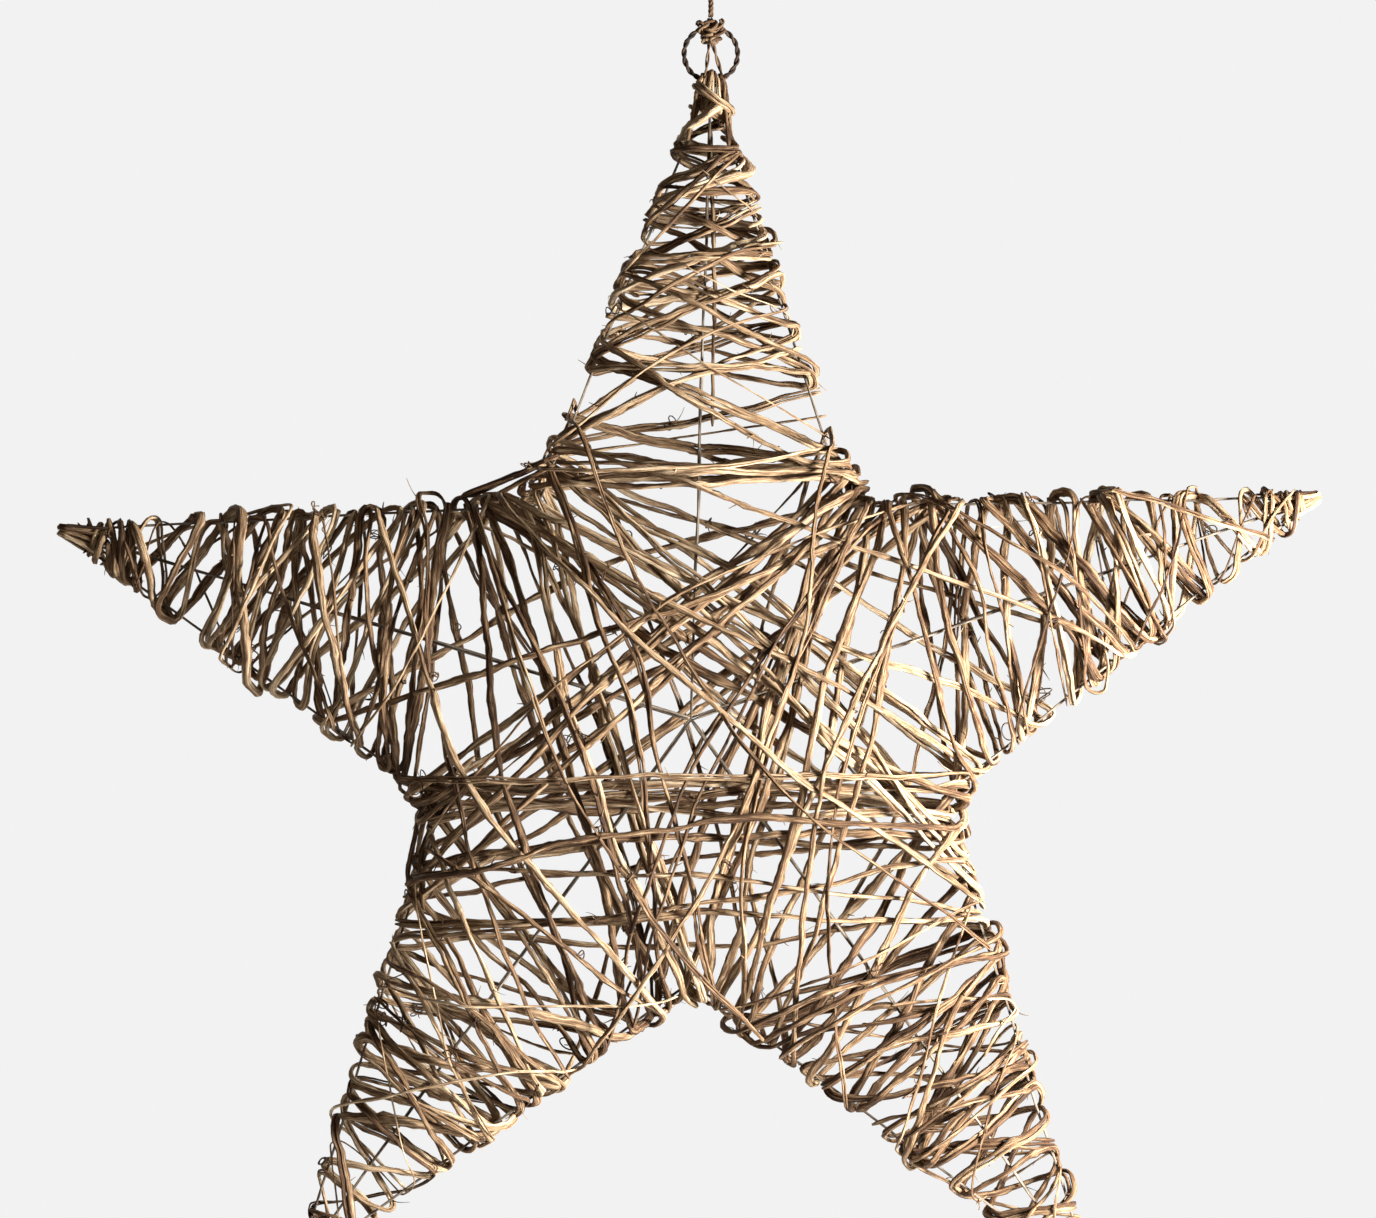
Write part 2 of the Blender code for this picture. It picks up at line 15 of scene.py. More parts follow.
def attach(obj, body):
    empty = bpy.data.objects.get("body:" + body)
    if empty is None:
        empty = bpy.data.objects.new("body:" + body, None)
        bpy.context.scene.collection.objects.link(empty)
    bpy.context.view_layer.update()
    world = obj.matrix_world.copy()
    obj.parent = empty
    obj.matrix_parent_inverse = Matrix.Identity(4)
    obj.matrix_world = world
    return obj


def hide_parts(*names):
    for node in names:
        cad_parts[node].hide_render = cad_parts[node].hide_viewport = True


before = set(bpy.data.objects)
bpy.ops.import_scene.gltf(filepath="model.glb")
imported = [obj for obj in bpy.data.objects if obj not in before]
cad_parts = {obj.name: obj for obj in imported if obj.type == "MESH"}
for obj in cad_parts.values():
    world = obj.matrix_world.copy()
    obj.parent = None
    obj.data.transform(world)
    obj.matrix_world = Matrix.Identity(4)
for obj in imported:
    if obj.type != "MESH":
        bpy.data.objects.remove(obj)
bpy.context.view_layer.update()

MM = 0.001

# The photo's frame at the star's plane, and the long lens that sees it.
PHOTO_WIDTH = 667.0 * MM
PHOTO_CENTRE = (-11.1 * MM, -338.1 * MM)
CAMERA_DISTANCE = 3.5
SENSOR_MM = 36.0

camera_data = bpy.data.cameras.new("camera")
camera_data.sensor_width = SENSOR_MM
camera_data.lens = SENSOR_MM * CAMERA_DISTANCE / PHOTO_WIDTH
camera = bpy.data.objects.new("camera", camera_data)
camera.location = (PHOTO_CENTRE[0], -CAMERA_DISTANCE, PHOTO_CENTRE[1])
camera.rotation_euler = (math.pi / 2, 0, 0)
bpy.context.collection.objects.link(camera)
bpy.context.scene.camera = camera

# The arms, counter-clockwise: how far each tip lies from the star's centre, and how far
# each arm leans from an even star in degrees.
ARM_NAMES = ("top", "left", "left_leg", "right_leg", "right")
ARM_REACHES = (308.0 * MM, 318.5 * MM, 328.0 * MM, 335.0 * MM, 322.5 * MM)
ARM_LEANS = (-1.8, 1.3, 0.3, -0.5, 1.5)
NOTCH_REACH = 127.5 * MM
FRAME_DEPTH = 82.0 * MM

# The least gap that is planned between pieces, and the least that a vine's bends may leave.
CLEARANCE = 0.3 * MM
LEAST_CLEARANCE = 0.12 * MM

# The frame's wires. Every tip is bent blunt, this far short of where its sides would meet.
WIRE_RADIUS = 0.8 * MM
TIP_BLUNT = 3.4 * MM

# The wire eye at the top tip, and the ring that it hangs from.
EYE_RADIUS = 3.6 * MM
RING_RADIUS = 13.0 * MM
RING_SECTION = 1.2 * MM

# The tie that goes through the eye: how far it spreads behind, and its room beside and below.
TIE_RADIUS = 0.5 * MM
TIE_SPREAD = 5.5 * MM
TIE_SLACK = 1.0 * MM
TIE_DIP = 0.2 * MM

# The knot round the ring's top, the cord above it, and the loop at the cord's end.
KNOT_HALF_WIDTH = 6.0 * MM
KNOT_HALF_DEPTH = 4.2 * MM
KNOT_HALF_HEIGHT = 6.5 * MM
KNOT_DROP = 2.0 * MM
CORD_RADIUS = 1.15 * MM
CORD_LENGTH = 34.0 * MM
END_KNOT_RADIUS = 3.0 * MM
LOOP_RADIUS = 7.0 * MM

# The vines' radii, and how much thinner each vine is at its end.
VINE_RADII = {"thick": 2.6 * MM, "main": 2.0 * MM, "slim": 1.6 * MM}
TAPER = 0.25

# A vine turns round the outline at least this far from a notch or a tip, and ends in a tail.
# Where the outline is taken for this far, it turns on top of the others, a layer further out.
NOTCH_MARGIN = 3.5 * MM
TIP_MARGIN = 6.0 * MM
ANCHOR_STEP = 0.5 * MM
MOST_SHIFT = 9.0 * MM
LAYER = 4.3 * MM
MOST_LAYERS = 3
TAIL = (1.5 * MM, 5.0 * MM)

# A pass that bows less than this is straight, and a bowed one bends at these shares of its way.
# Its height is looked up at every sample, over all that isn't this far beyond the star's plane.
LEAST_BOW = 2.5 * MM
BOW_PLACES = (0, 0.5, 1)
SAMPLE = 1.5 * MM
FAR_SIDE = 2.0 * MM

# Rise of a vine over a sloping one, and over the outline, as shares of the straight rise.
SLOPE_ALLOWANCE = 1.13
CORNER_RISE = 1.12

# Supports: the points where a pass rests on what lies below it.
SUPPORT_SLACK = 0.2 * MM
SUPPORT_SPARE = 0.8 * MM
SUPPORT_SPACING = 5.0 * MM
SUPPORT_GAIN = 1.2
SUPPORT_STEP = 0.05 * MM
SUPPORT_TRIES = 60
BEND_SPARE = 0.8 * MM
EASING = 5.0 * MM
SEED = 3

# Windings round one arm: first and last place along it (0 at its notches, 1 at its tip),
# turns, tilt of the front passes in degrees, kind of vine.
ARM_WINDINGS = (
    (0.10, 0.62, 3.0, 20, "main"),
    (0.66, 0.16, 3.0, -18, "main"),
    (0.36, 0.96, 4.0, 12, "slim"),
    (0.92, 0.44, 3.0, -13, "main"),
    (0.26, 0.56, 2.0, -24, "slim"),
    (0.84, 0.28, 2.5, 17, "main"),
)

# How far the passes round an arm bow and spread, how much tilt and place vary, and the shares of
# the windings that start in front and on the left. The middle is wound after the first of each arm.
ARM_BOW = 0.03
ARM_SPREAD = 0.69
LAST_PLACE = 0.95
TILT_RANGE = 5
PLACE_RANGE = 0.03
FRONT_SHARE = 0.6
LEFT_SHARE = 0.5
WINDINGS_BEFORE_BODY = 1

# Windings round the middle: the outline positions that the vine visits by turns, how far to either
# side of them it may turn, its passes, its bow and its kind. Outline positions run 0 to 10 from the
# top tip, counter-clockwise, so an odd number is a notch.
BODY_WINDINGS = (
    ("vine_across_lower_body", (2.97, 7.03), 0.06, 5, 0.04, "main"),
    ("vine_notch_weave", (1.05, 6.95, 3.05, 8.95, 4.95), 0.10, 10, 0.06, "main"),
    ("vine_right_notch_fan", (8.95, 5.05, 9.02, 2.95), 0.14, 8, 0.07, "main"),
    ("vine_left_notch_fan", (1.05, 7.05, 0.98, 4.95), 0.14, 8, 0.07, "main"),
    ("vine_left_notch_to_right_leg", (0.97, 6.85, 1.10, 7.25), 0.14, 6, 0.08, "slim"),
    ("vine_right_notch_to_left_leg", (9.03, 3.15, 8.90, 2.75), 0.14, 6, 0.08, "slim"),
    ("vine_across_leg_tops", (3.22, 6.82), 0.12, 5, 0.06, "slim"),
    ("vine_left_shoulder", (1.18, 4.80, 1.25, 2.90), 0.12, 5, 0.06, "slim"),
    ("vine_right_shoulder", (8.82, 5.20, 8.75, 7.05), 0.12, 5, 0.06, "slim"),
    ("vine_across_upper_body", (0.93, 9.04), 0.05, 5, 0.05, "thick"),
    ("vine_front_double", (0.95, 5.03, 1.05), 0.03, 3, 0.09, "slim"),
)


def on_plane(angle, reach):
    """Point of the star's plane at an angle in degrees and a reach from the centre."""
    turn = math.radians(angle)
    return np.array([reach * math.cos(turn), reach * math.sin(turn)])


def unit(vector):
    """The same direction with a length of one."""
    return vector / norm(vector)


def clamped(value, low, high):
    """The value, or the limit that it passes."""
    return min(max(value, low), high)


def star_outline():
    """The ten corners, tip and notch by turns, counter-clockwise from the top tip."""
    angles = [90 + 72 * i + lean for i, lean in enumerate(ARM_LEANS)]
    angles.append(angles[0] + 360)
    corners = []
    for i, reach in enumerate(ARM_REACHES):
        corners.append(on_plane(angles[i], reach))
        corners.append(on_plane((angles[i] + angles[i + 1]) / 2, NOTCH_REACH))
    return np.array(corners)


OUTLINE = star_outline()
EDGE_LENGTHS = [float(norm(OUTLINE[(i + 1) % 10] - OUTLINE[i])) for i in range(10)]

# Heights above the star's centre: the eye, the ring through it, the knot on the ring, and the
# foot, the end knot and the loop of the cord.
HANG_X = float(OUTLINE[0][0])
EYE_Z = float(OUTLINE[0][1]) - TIP_BLUNT + EYE_RADIUS
RING_BOTTOM_Z = EYE_Z + EYE_RADIUS - WIRE_RADIUS - CLEARANCE - RING_SECTION
RING_Z = RING_BOTTOM_Z + RING_RADIUS
KNOT_Z = RING_Z + RING_RADIUS - KNOT_DROP
CORD_FOOT_Z = KNOT_Z + KNOT_HALF_HEIGHT + CLEARANCE
END_KNOT_Z = CORD_FOOT_Z + CORD_LENGTH + CLEARANCE + END_KNOT_RADIUS
LOOP_Z = END_KNOT_Z + LOOP_RADIUS + CORD_RADIUS
MOUNT_Z = LOOP_Z + LOOP_RADIUS - CORD_RADIUS


def lifted(place, lift, side):
    """Point of the star at a place of its plane and a height before (1) or behind (-1) it."""
    return np.array([place[0], -side * lift, place[1]])


def rod_distance(a0, a1, b0, b1):
    """Least distance between rods, and where along the first rods it lies."""
    tiny = 1e-15
    d1, d2, r = a1 - a0, b1 - b0, a0 - b0
    a = np.maximum((d1 * d1).sum(-1), tiny)
    e = np.maximum((d2 * d2).sum(-1), tiny)
    b, c, f = (d1 * d2).sum(-1), (d1 * r).sum(-1), (d2 * r).sum(-1)
    den = a * e - b * b
    crossing = (b * f - c * e) / np.maximum(den, tiny * tiny)
    s = np.clip(np.where(den > tiny * tiny, crossing, 0.5), 0, 1)
    t = np.clip((b * s + f) / e, 0, 1)
    s = np.clip((b * t - c) / a, 0, 1)
    t = np.clip((b * s + f) / e, 0, 1)
    gap = norm(a0 + s[..., None] * d1 - b0 - t[..., None] * d2, axis=-1)
    return gap, s


def upper_hull(along, heights):
    """Indices of the points that a thread pulled taut over them touches."""
    kept = []
    for i in range(len(along)):
        while len(kept) > 1:
            a, b = kept[-2], kept[-1]
            rise_to_b = (heights[b] - heights[a]) * (along[i] - along[a])
            rise_to_i = (heights[i] - heights[a]) * (along[b] - along[a])
            if rise_to_b > rise_to_i:
                break
            kept.pop()
        kept.append(i)
    return kept


class Pile:
    """Everything laid so far, as short straight rods with a radius."""

    def __init__(self):
        self.starts = np.zeros((0, 3))
        self.ends = np.zeros((0, 3))
        self.radii = np.zeros(0)

    def add(self, points, radius):
        points = np.asarray(points)
        self.starts = np.vstack([self.starts, points[:-1]])
        self.ends = np.vstack([self.ends, points[1:]])
        self.radii = np.concatenate([self.radii, np.full(len(points) - 1, radius)])

    def height(self, places, side, radius):
        """How high a vine's centreline must run at each place to pass over what lies there."""
        nothing = -1.0
        reach = self.radii + radius + CLEARANCE
        start, end = self.starts[:, [0, 2]], self.ends[:, [0, 2]]
        lifts = -side * np.stack([self.starts[:, 1], self.ends[:, 1]])
        near = (places.min(0) <= np.maximum(start, end) + reach[:, None]).all(1)
        near &= (places.max(0) >= np.minimum(start, end) - reach[:, None]).all(1)
        near &= lifts.max(0) > -FAR_SIDE
        start, end, reach = start[near], end[near], reach[near]
        start_lift, end_lift = lifts[:, near]
        best = np.full(len(places), nothing)
        if not len(start):
            return best
        along = end - start
        length2 = np.maximum((along * along).sum(1), 1e-12)
        foot = np.clip(((places[:, None, :] - start) * along).sum(2) / length2, 0, 1)
        for share in (foot, np.zeros_like(foot), np.ones_like(foot)):
            off2 = ((places[:, None, :] - start - share[..., None] * along) ** 2).sum(2)
            rise = SLOPE_ALLOWANCE * np.sqrt(np.maximum(reach ** 2 - off2, 0))
            lift = start_lift + share * (end_lift - start_lift) + rise
            best = np.maximum(best, np.where(off2 < reach ** 2, lift, nothing).max(1))
        return best

    def shortfall(self, points, radius):
        """How much nearer than the clearance each rod of a new vine comes, and where along it."""
        first, last = points[:-1, None, :], points[1:, None, :]
        gap, share = rod_distance(first, last, self.starts[None], self.ends[None])
        short = radius + self.radii[None] + LEAST_CLEARANCE - gap
        worst = short.argmax(1)
        rows = np.arange(len(worst))
        return short[rows, worst], share[rows, worst]


class Winder:
    """Lays vines over the frame one after another, each on top of what lies there."""

    bow_places = BOW_PLACES

    def __init__(self, pile):
        self.pile = pile
        self.dice = random.Random(SEED)

    def anchor(self, position, radius):
        """The nearest free place on the outline, or on top of others, and its bend's corner."""
        position %= 10
        number = int(position)
        length = EDGE_LENGTHS[number]
        tip_first = number % 2 == 0
        low = TIP_MARGIN if tip_first else NOTCH_MARGIN
        high = length - (NOTCH_MARGIN if tip_first else TIP_MARGIN)
        wanted = clamped((position - number) * length, low, high)
        start, end = OUTLINE[number], OUTLINE[(number + 1) % 10]
        along = (end - start) / length
        outward = np.array([along[1], -along[0]])
        places = sorted(np.arange(low, high, ANCHOR_STEP), key=lambda place: abs(place - wanted))
        close = [place for place in places if abs(place - wanted) < MOST_SHIFT]
        tries = [(place, layer) for layer in range(MOST_LAYERS) for place in close]
        tries += [(place, 0) for place in places[len(close):]]
        for place, layer in tries:
            point = start + along * place
            corner = point + outward * (WIRE_RADIUS + radius + CLEARANCE + layer * LAYER)
            bend = [self.corner_lift(corner, side, radius) + BEND_SPARE for side in (1, -1)]
            bend = np.array([lifted(corner, bend[0], 1), lifted(corner, bend[1], -1)])
            if self.pile.shortfall(bend, radius)[0].max() <= 0:
                return point, corner
        return None

    def corner_lift(self, corner, side, radius):
        """Height at which a vine turns round the outline on one side of the star."""
        floor = (WIRE_RADIUS + radius + CLEARANCE) * CORNER_RISE
        return max(floor, float(self.pile.height(corner[None], side, radius)[0]))

    def lay(self, route, side, radius):
        """One pass over the front or the back along a route of the plane, pulled taut."""
        places, knots = [route[0]], [0]
        for a, b in zip(route[:-1], route[1:]):
            count = max(1, int(norm(b - a) / SAMPLE))
            places += [a + (b - a) * k / count for k in range(1, count + 1)]
            knots.append(len(places) - 1)
        places = np.array(places)
        steps = norm(np.diff(places, axis=0), axis=1)
        along = np.concatenate([[0], np.cumsum(steps)])
        heights = self.pile.height(places, side, radius)
        heights[0] = self.corner_lift(route[0], side, radius)
        heights[-1] = self.corner_lift(route[-1], side, radius)
        hull = upper_hull(along, heights)
        lifts = np.interp(along, along[hull], heights[hull])
        chosen = {k: lifts[k] for k in knots}
        for _ in range(SUPPORT_TRIES):
            picked = sorted(chosen)
            level = np.interp(along, along[picked], [chosen[k] for k in picked])
            short = heights - level
            worst = int(short.argmax())
            if short[worst] > SUPPORT_SLACK:
                chosen[worst] = heights[worst] + SUPPORT_SPARE
                continue
            line = np.array([lifted(places[k], chosen[k], side) for k in picked])
            short, share = self.pile.shortfall(line, radius)
            if short.max() <= 0:
                return self.eased(line, radius)
            for k in np.nonzero(short > 0)[0]:
                low, high = picked[k], picked[k + 1]
                spot = int(round(low + share[k] * (high - low)))
                more = SUPPORT_GAIN * short[k] + SUPPORT_STEP
                if high - low > 2 and min(spot - low, high - spot) * SAMPLE > SUPPORT_SPACING:
                    chosen[spot] = level[spot] + more
                else:
                    nearest = low if spot - low < high - spot else high
                    chosen[nearest] += more
        return line

    def eased(self, line, radius):
        """The same pass without the bends that it can spare and still clear the pile."""
        k = 1
        while k < len(line) - 1:
            straight = np.array([line[k - 1], line[k + 1]])
            chord = straight[1] - straight[0]
            share = np.clip((line[k] - straight[0]) @ chord / (chord @ chord), 0, 1)
            off = norm(line[k] - straight[0] - share * chord)
            if off < EASING and self.pile.shortfall(straight, radius)[0].max() <= 0:
                line = np.delete(line, k, axis=0)
                k = max(1, k - 1)
            else:
                k += 1
        return line

    def wind(self, positions, radius, side, bow):
        """A vine through outline positions, passing over the front and the back by turns."""
        here = self.anchor(positions[0], radius)
        vine = None
        for k, position in enumerate(positions[1:]):
            there = self.anchor(position, radius)
            if there is None:
                break
            start, end = here[1], there[1]
            across = unit(end - start)
            if k == 0:
                start = here[0] - across * self.dice.uniform(*TAIL)
            if k == len(positions) - 2:
                end = there[0] + across * self.dice.uniform(*TAIL)
            offset = norm(end - start) * bow * self.dice.uniform(-1, 1)
            places = self.bow_places if abs(offset) > LEAST_BOW else (0, 1)
            sideways = offset * np.array([-across[1], across[0]])
            route = [start + (end - start) * place + sideways * 4 * place * (1 - place)
                     for place in places]
            line = self.lay(route, side, radius)
            if vine is None:
                vine = line
            else:
                self.pile.add(np.array([vine[-1], line[0]]), radius)
                vine = np.vstack([vine, line])
            self.pile.add(line, radius)
            here = there
            side = -side
        return vine


def frame_wires():
    """The ends of the frame's wires: the outline, and ridges from both peaks to the tips."""
    corners = [lifted(corner, 0, 1) for corner in OUTLINE]
    peaks = [lifted((0, 0), FRAME_DEPTH / 2, side) for side in (1, -1)]
    wires = [(corners[i], corners[(i + 1) % 10]) for i in range(10)]
    return np.array(wires + [(peak, tip) for peak in peaks for tip in corners[::2]])


def arm_positions(arm, first, last, turns, tilt, dice):
    """Outline positions of a winding round one arm, a little off its place and its tilt."""
    tilt = tilt * (-1 if arm % 2 else 1) + dice.uniform(-TILT_RANGE, TILT_RANGE)
    shift = dice.uniform(-PLACE_RANGE, PLACE_RANGE)
    left_first = dice.random() < LEFT_SHARE
    first, last = first + shift, last + shift
    passes = int(round(turns * 2))
    lean = ARM_SPREAD * math.tan(math.radians(tilt)) / 2
    positions = []
    for k in range(passes + 1):
        place = first + (last - first) * k / passes
        on_left = (k % 2 == 0) == left_first
        place += (lean if on_left else -lean) * (1 - place)
        place = min(place, LAST_PLACE)
        positions.append(2 * arm + (1 - place if on_left else place - 1))
    return positions


def body_positions(visited, spread, passes, dice):
    """Outline positions of a winding round the middle, a little to either side on each round."""
    places = [visited[k % len(visited)] for k in range(passes + 1)]
    return [place + dice.uniform(-spread, spread) for place in places]


def wind_star():
    """Every vine of the solids as its name, centreline and radius, and the pile they make."""
    pile = Pile()
    for wire in frame_wires():
        pile.add(wire, WIRE_RADIUS)
    winder = Winder(pile)
    vines = []
    for number, (*winding, kind) in enumerate(ARM_WINDINGS):
        if number == WINDINGS_BEFORE_BODY:
            for name, visited, spread, passes, bow, body_kind in BODY_WINDINGS:
                positions = body_positions(visited, spread, passes, winder.dice)
                line = winder.wind(positions, VINE_RADII[body_kind], 1, bow)
                vines.append((name, line, VINE_RADII[body_kind]))
        for arm, arm_name in enumerate(ARM_NAMES):
            positions = arm_positions(arm, *winding, winder.dice)
            side = 1 if winder.dice.random() < FRONT_SHARE else -1
            line = winder.wind(positions, VINE_RADII[kind], side, ARM_BOW)
            vines.append((f"vine_{arm_name}_{number + 1}", line, VINE_RADII[kind]))
    return vines, pile


# What brings a point of the star into the frame of its solids.
CENTRE = np.array([-HANG_X, 0.0, -MOUNT_Z])

# The vines that the solids leave out: how far a place on the outline varies, how near an arm's
# notches it may come, the radii, and how far a radius varies.
POSITION_RANGE = 0.025
ARM_LIMIT = 0.97
STRONG = 1.8 * MM
MIDDLING = 1.45 * MM
THIN = 1.1 * MM
FINE = 0.6 * MM
RADIUS_RANGE = (0.8, 1.25)

# Windings round each arm: first and last place, turns, tilt, radius, bow.
MORE_ARM_WINDINGS = (
    (0.05, 0.60, 2.5, 22, MIDDLING, 0.06),
    (0.97, 0.34, 2.5, -16, THIN, 0.07),
    (0.30, 0.96, 3.0, 30, FINE, 0.08),
    (0.80, 0.06, 2.0, -28, THIN, 0.08),
)

# Windings round the middle, as in BODY_WINDINGS.
MORE_BODY_WINDINGS = (
    ("upper_left", (1.04, 7.22, 0.98, 7.40), 0.13, 4, 0.07, THIN),
    ("upper_right", (8.90, 3.10, 9.10), 0.10, 2, 0.14, FINE),
    ("left_down", (1.10, 4.85, 1.02, 6.70), 0.13, 4, 0.12, MIDDLING),
    ("right_down", (8.78, 5.15, 8.92, 4.80), 0.13, 4, 0.12, MIDDLING),
    ("top_arm_root", (0.84, 9.12, 0.95, 9.03), 0.10, 2, 0.14, THIN),
    ("top_arm_foot", (9.12, 1.03, 0.92, 8.97), 0.05, 2, 0.12, THIN),
    ("waist", (2.94, 7.10), 0.12, 2, 0.09, MIDDLING),
    ("hips", (3.17, 6.84), 0.08, 2, 0.10, MIDDLING),
    ("left_arm_root", (1.14, 2.95, 1.22, 2.82), 0.10, 4, 0.08, MIDDLING),
    ("right_arm_root", (8.86, 7.05, 8.78, 7.18), 0.10, 4, 0.08, MIDDLING),
    ("left_leg_root", (3.20, 4.78), 0.14, 4, 0.08, MIDDLING),
    ("right_leg_root", (6.80, 5.24), 0.14, 5, 0.08, MIDDLING),
    ("long_left", (0.96, 4.95, 1.22, 4.70), 0.10, 3, 0.12, STRONG),
    ("long_right", (9.05, 5.05, 8.72, 5.30), 0.14, 3, 0.12, THIN),
    ("bridge", (0.875, 1.14), 0.005, 2, 0.03, THIN),
    ("belly_left", (1.10, 5.30, 0.95, 6.80), 0.16, 3, 0.14, THIN),
    ("belly_right", (8.90, 4.70, 9.05, 4.90), 0.16, 3, 0.14, THIN),
)

# The surface of a strand: how far its points lie apart, and how a bend is rounded.
STEP = 3.5 * MM
TURN_DEVIATION = 1.4 * MM
BEND_DEVIATION = 1.1 * MM
SHARP_TURN = 1.0
BEND_STEP = 0.35
CUT_SHARE = 0.45
LEAST_SINE = 0.001

# The bow in which a vine turns round the outline: half its width, how far inward it reaches, the
# share of the room that it may take, and how far off the vine's direction is looked up.
BOW_WIDTH = 4.2 * MM
BOW_REACH = 9.0 * MM
BOW_ROOM = 0.16
BOW_WIDTH_RANGE = (0.5, 1.2)
BOW_REACH_RANGE = (0.8, 1.2)
LOOK = 25.0 * MM
LOOK_ROOM = 0.4

# The winding pulls the outermost layers flatter than loose ones would lie.
PRESS_FROM = 46.0 * MM
PRESS_RANGE = 14.5 * MM

# How a vine strays from its path along the star's plane and out of it, each time as wobble, sway
# and kinks with their lengths, and how its thickness varies. A waver is a sum of waves.
WAVES = 3
WAVE_RANGE = (0.6, 1.7)
STRAYS = (
    ((0.45 * MM, 38.0 * MM), (2.0 * MM, 120.0 * MM), (0.2 * MM, 15.0 * MM)),
    ((0.45 * MM, 38.0 * MM), (1.2 * MM, 120.0 * MM), (0.2 * MM, 15.0 * MM)),
)
SWELL = 0.14
SWELL_LENGTH = 50.0 * MM
NODE_SPACING = (45.0 * MM, 110.0 * MM)
NODE_LENGTH = 2.4 * MM
NODE_SIZE = (0.2, 0.48)

# The ridges along a strand's bark, its roughness and knobs as shares of them, and its ends.
RIDGE = 0.17
RIDGE_SWAY = 3
RIDGE_LENGTH = 90.0 * MM
SIDE_RIDGE = 0.6
ROUGHNESS = 0.45
KNOBS = 0.75
END_SIZE = 0.55
BARK_OFFSET = 10.0
SPIN = 40.0

# A vine is one stem, or two or three that grew together: the share of each kind, a stem's
# radius and the spacing of the stems as shares of the vine's own radius.
STEM_SHARES = (0.54, 0.38, 0.08)
STEM_SIZES = (0.98, 0.60, 0.45)
STEM_SPACINGS = (0.0, 1.12, 0.84)
STEM_RANGE = (0.85, 1.12)
STEM_TONE_RANGE = 0.25
LOOSENESS = 0.38
LOOSE_LENGTH = 2 * SWELL_LENGTH
TWIST = 8.0
TWIST_SWAY = 0.9
TWIST_LENGTH = 160.0 * MM

# Shreds of bark, and the dried tendrils and tangles on a few of them. A shred leans along the
# vine, bends to its side and inward, and narrows.
SHRED_SPACING = 60.0 * MM
SHRED_LENGTH = (2.5 * MM, 9.0 * MM)
SHRED_POINTS = 5
SHRED_RADIUS = 0.38 * MM
SHRED_SIZE = (0.6, 1.3)
SHRED_END = 0.35
SHRED_FOOT = 0.4
SHRED_LEAN = (0.3, 1.3)
SHRED_SLOPE = 1.4
SHRED_SIDE = 0.8
SHRED_BEND = (-0.2, 0.7)
TENDRIL_SHARE = 0.04
TENDRIL_SIZE = (1.4 * MM, 4.2 * MM)
TENDRIL_TURNS = (0.2, 0.5)
TENDRIL_POINTS = 12
TENDRIL_CLOSING = 0.55
TENDRIL_RADIUS = 0.42 * MM
TENDRIL_TAPER = 0.4
TANGLE_SHARE = 0.12
TANGLE_SIZE = (1.3 * MM, 3.4 * MM)
TANGLE_POINTS = 26
TANGLE_WAVE = 0.5


class Wrapper(Winder):
    """Winds further vines, less evenly and in rounder bows."""

    bow_places = (0, 0.25, 0.5, 0.75, 1)

    def anchor(self, position, radius):
        """The nearest free place on the same edge of the outline."""
        edge = math.floor(position)
        position += self.dice.uniform(-POSITION_RANGE, POSITION_RANGE)
        low, high = edge + POSITION_RANGE, edge + 1 - POSITION_RANGE
        return super().anchor(clamped(position, low, high), radius)


def wind_more(pile):
    """The further vines by the piece they belong to, each as a list of centrelines and radii."""
    wrapper = Wrapper(pile)
    dice = wrapper.dice
    groups = {}

    def wind(name, positions, radius, bow, from_front):
        radius *= dice.uniform(*RADIUS_RANGE)
        side = 1 if from_front or dice.random() < FRONT_SHARE else -1
        line = wrapper.wind(positions, radius, side, bow)
        groups.setdefault(f"slender_vines_{name}", []).append((line, radius))

    for number, (*winding, radius, bow) in enumerate(MORE_ARM_WINDINGS):
        for arm, arm_name in enumerate(ARM_NAMES):
            low, high = 2 * arm - ARM_LIMIT, 2 * arm + ARM_LIMIT
            positions = [clamped(place, low, high) for place in arm_positions(arm, *winding, dice)]
            wind(arm_name, positions, radius, bow, False)
        for row in MORE_BODY_WINDINGS[number::len(MORE_ARM_WINDINGS)]:
            name, visited, spread, passes, body_bow, body_radius = row
            positions = body_positions(visited, spread, passes, dice)
            wind(name, positions, body_radius, body_bow, True)
    return groups


def run_length(line):
    """How far each point of a line lies along it."""
    return np.concatenate([[0], np.cumsum(norm(np.diff(line, axis=0), axis=1))])


def spaced(line, step):
    """The same line with its points an even step apart."""
    lengths = run_length(line)
    count = max(3, int(round(lengths[-1] / step)) + 1)
    places = np.linspace(0, lengths[-1], count)
    return np.stack([np.interp(places, lengths, line[:, axis]) for axis in range(3)], axis=1)


def rounded(points, step):
    """A smooth line through a vine's bends, with more points where it bends."""
    points = np.asarray(points, float)
    bends = [points[0]]
    for before, here, after in zip(points[:-2], points[1:-1], points[2:]):
        back, on = before - here, after - here
        back_length, on_length = norm(back), norm(on)
        bend = math.pi - math.acos(np.clip(back @ on / (back_length * on_length), -1, 1))
        deviation = TURN_DEVIATION if bend > SHARP_TURN else BEND_DEVIATION
        wanted = 2 * deviation / max(math.sin(bend / 2), LEAST_SINE)
        cut = min(CUT_SHARE * back_length, CUT_SHARE * on_length, wanted)
        first, last = here + back * cut / back_length, here + on * cut / on_length
        for t in np.linspace(0, 1, 2 + int(round(bend / BEND_STEP))):
            bends.append((1 - t) ** 2 * first + 2 * t * (1 - t) * here + t * t * last)
    bends.append(points[-1])
    line = [bends[0]]
    for a, b in zip(bends[:-1], bends[1:]):
        count = max(1, math.ceil(norm(b - a) / step))
        line += [a + (b - a) * k / count for k in range(1, count + 1)]
    return np.array(line)


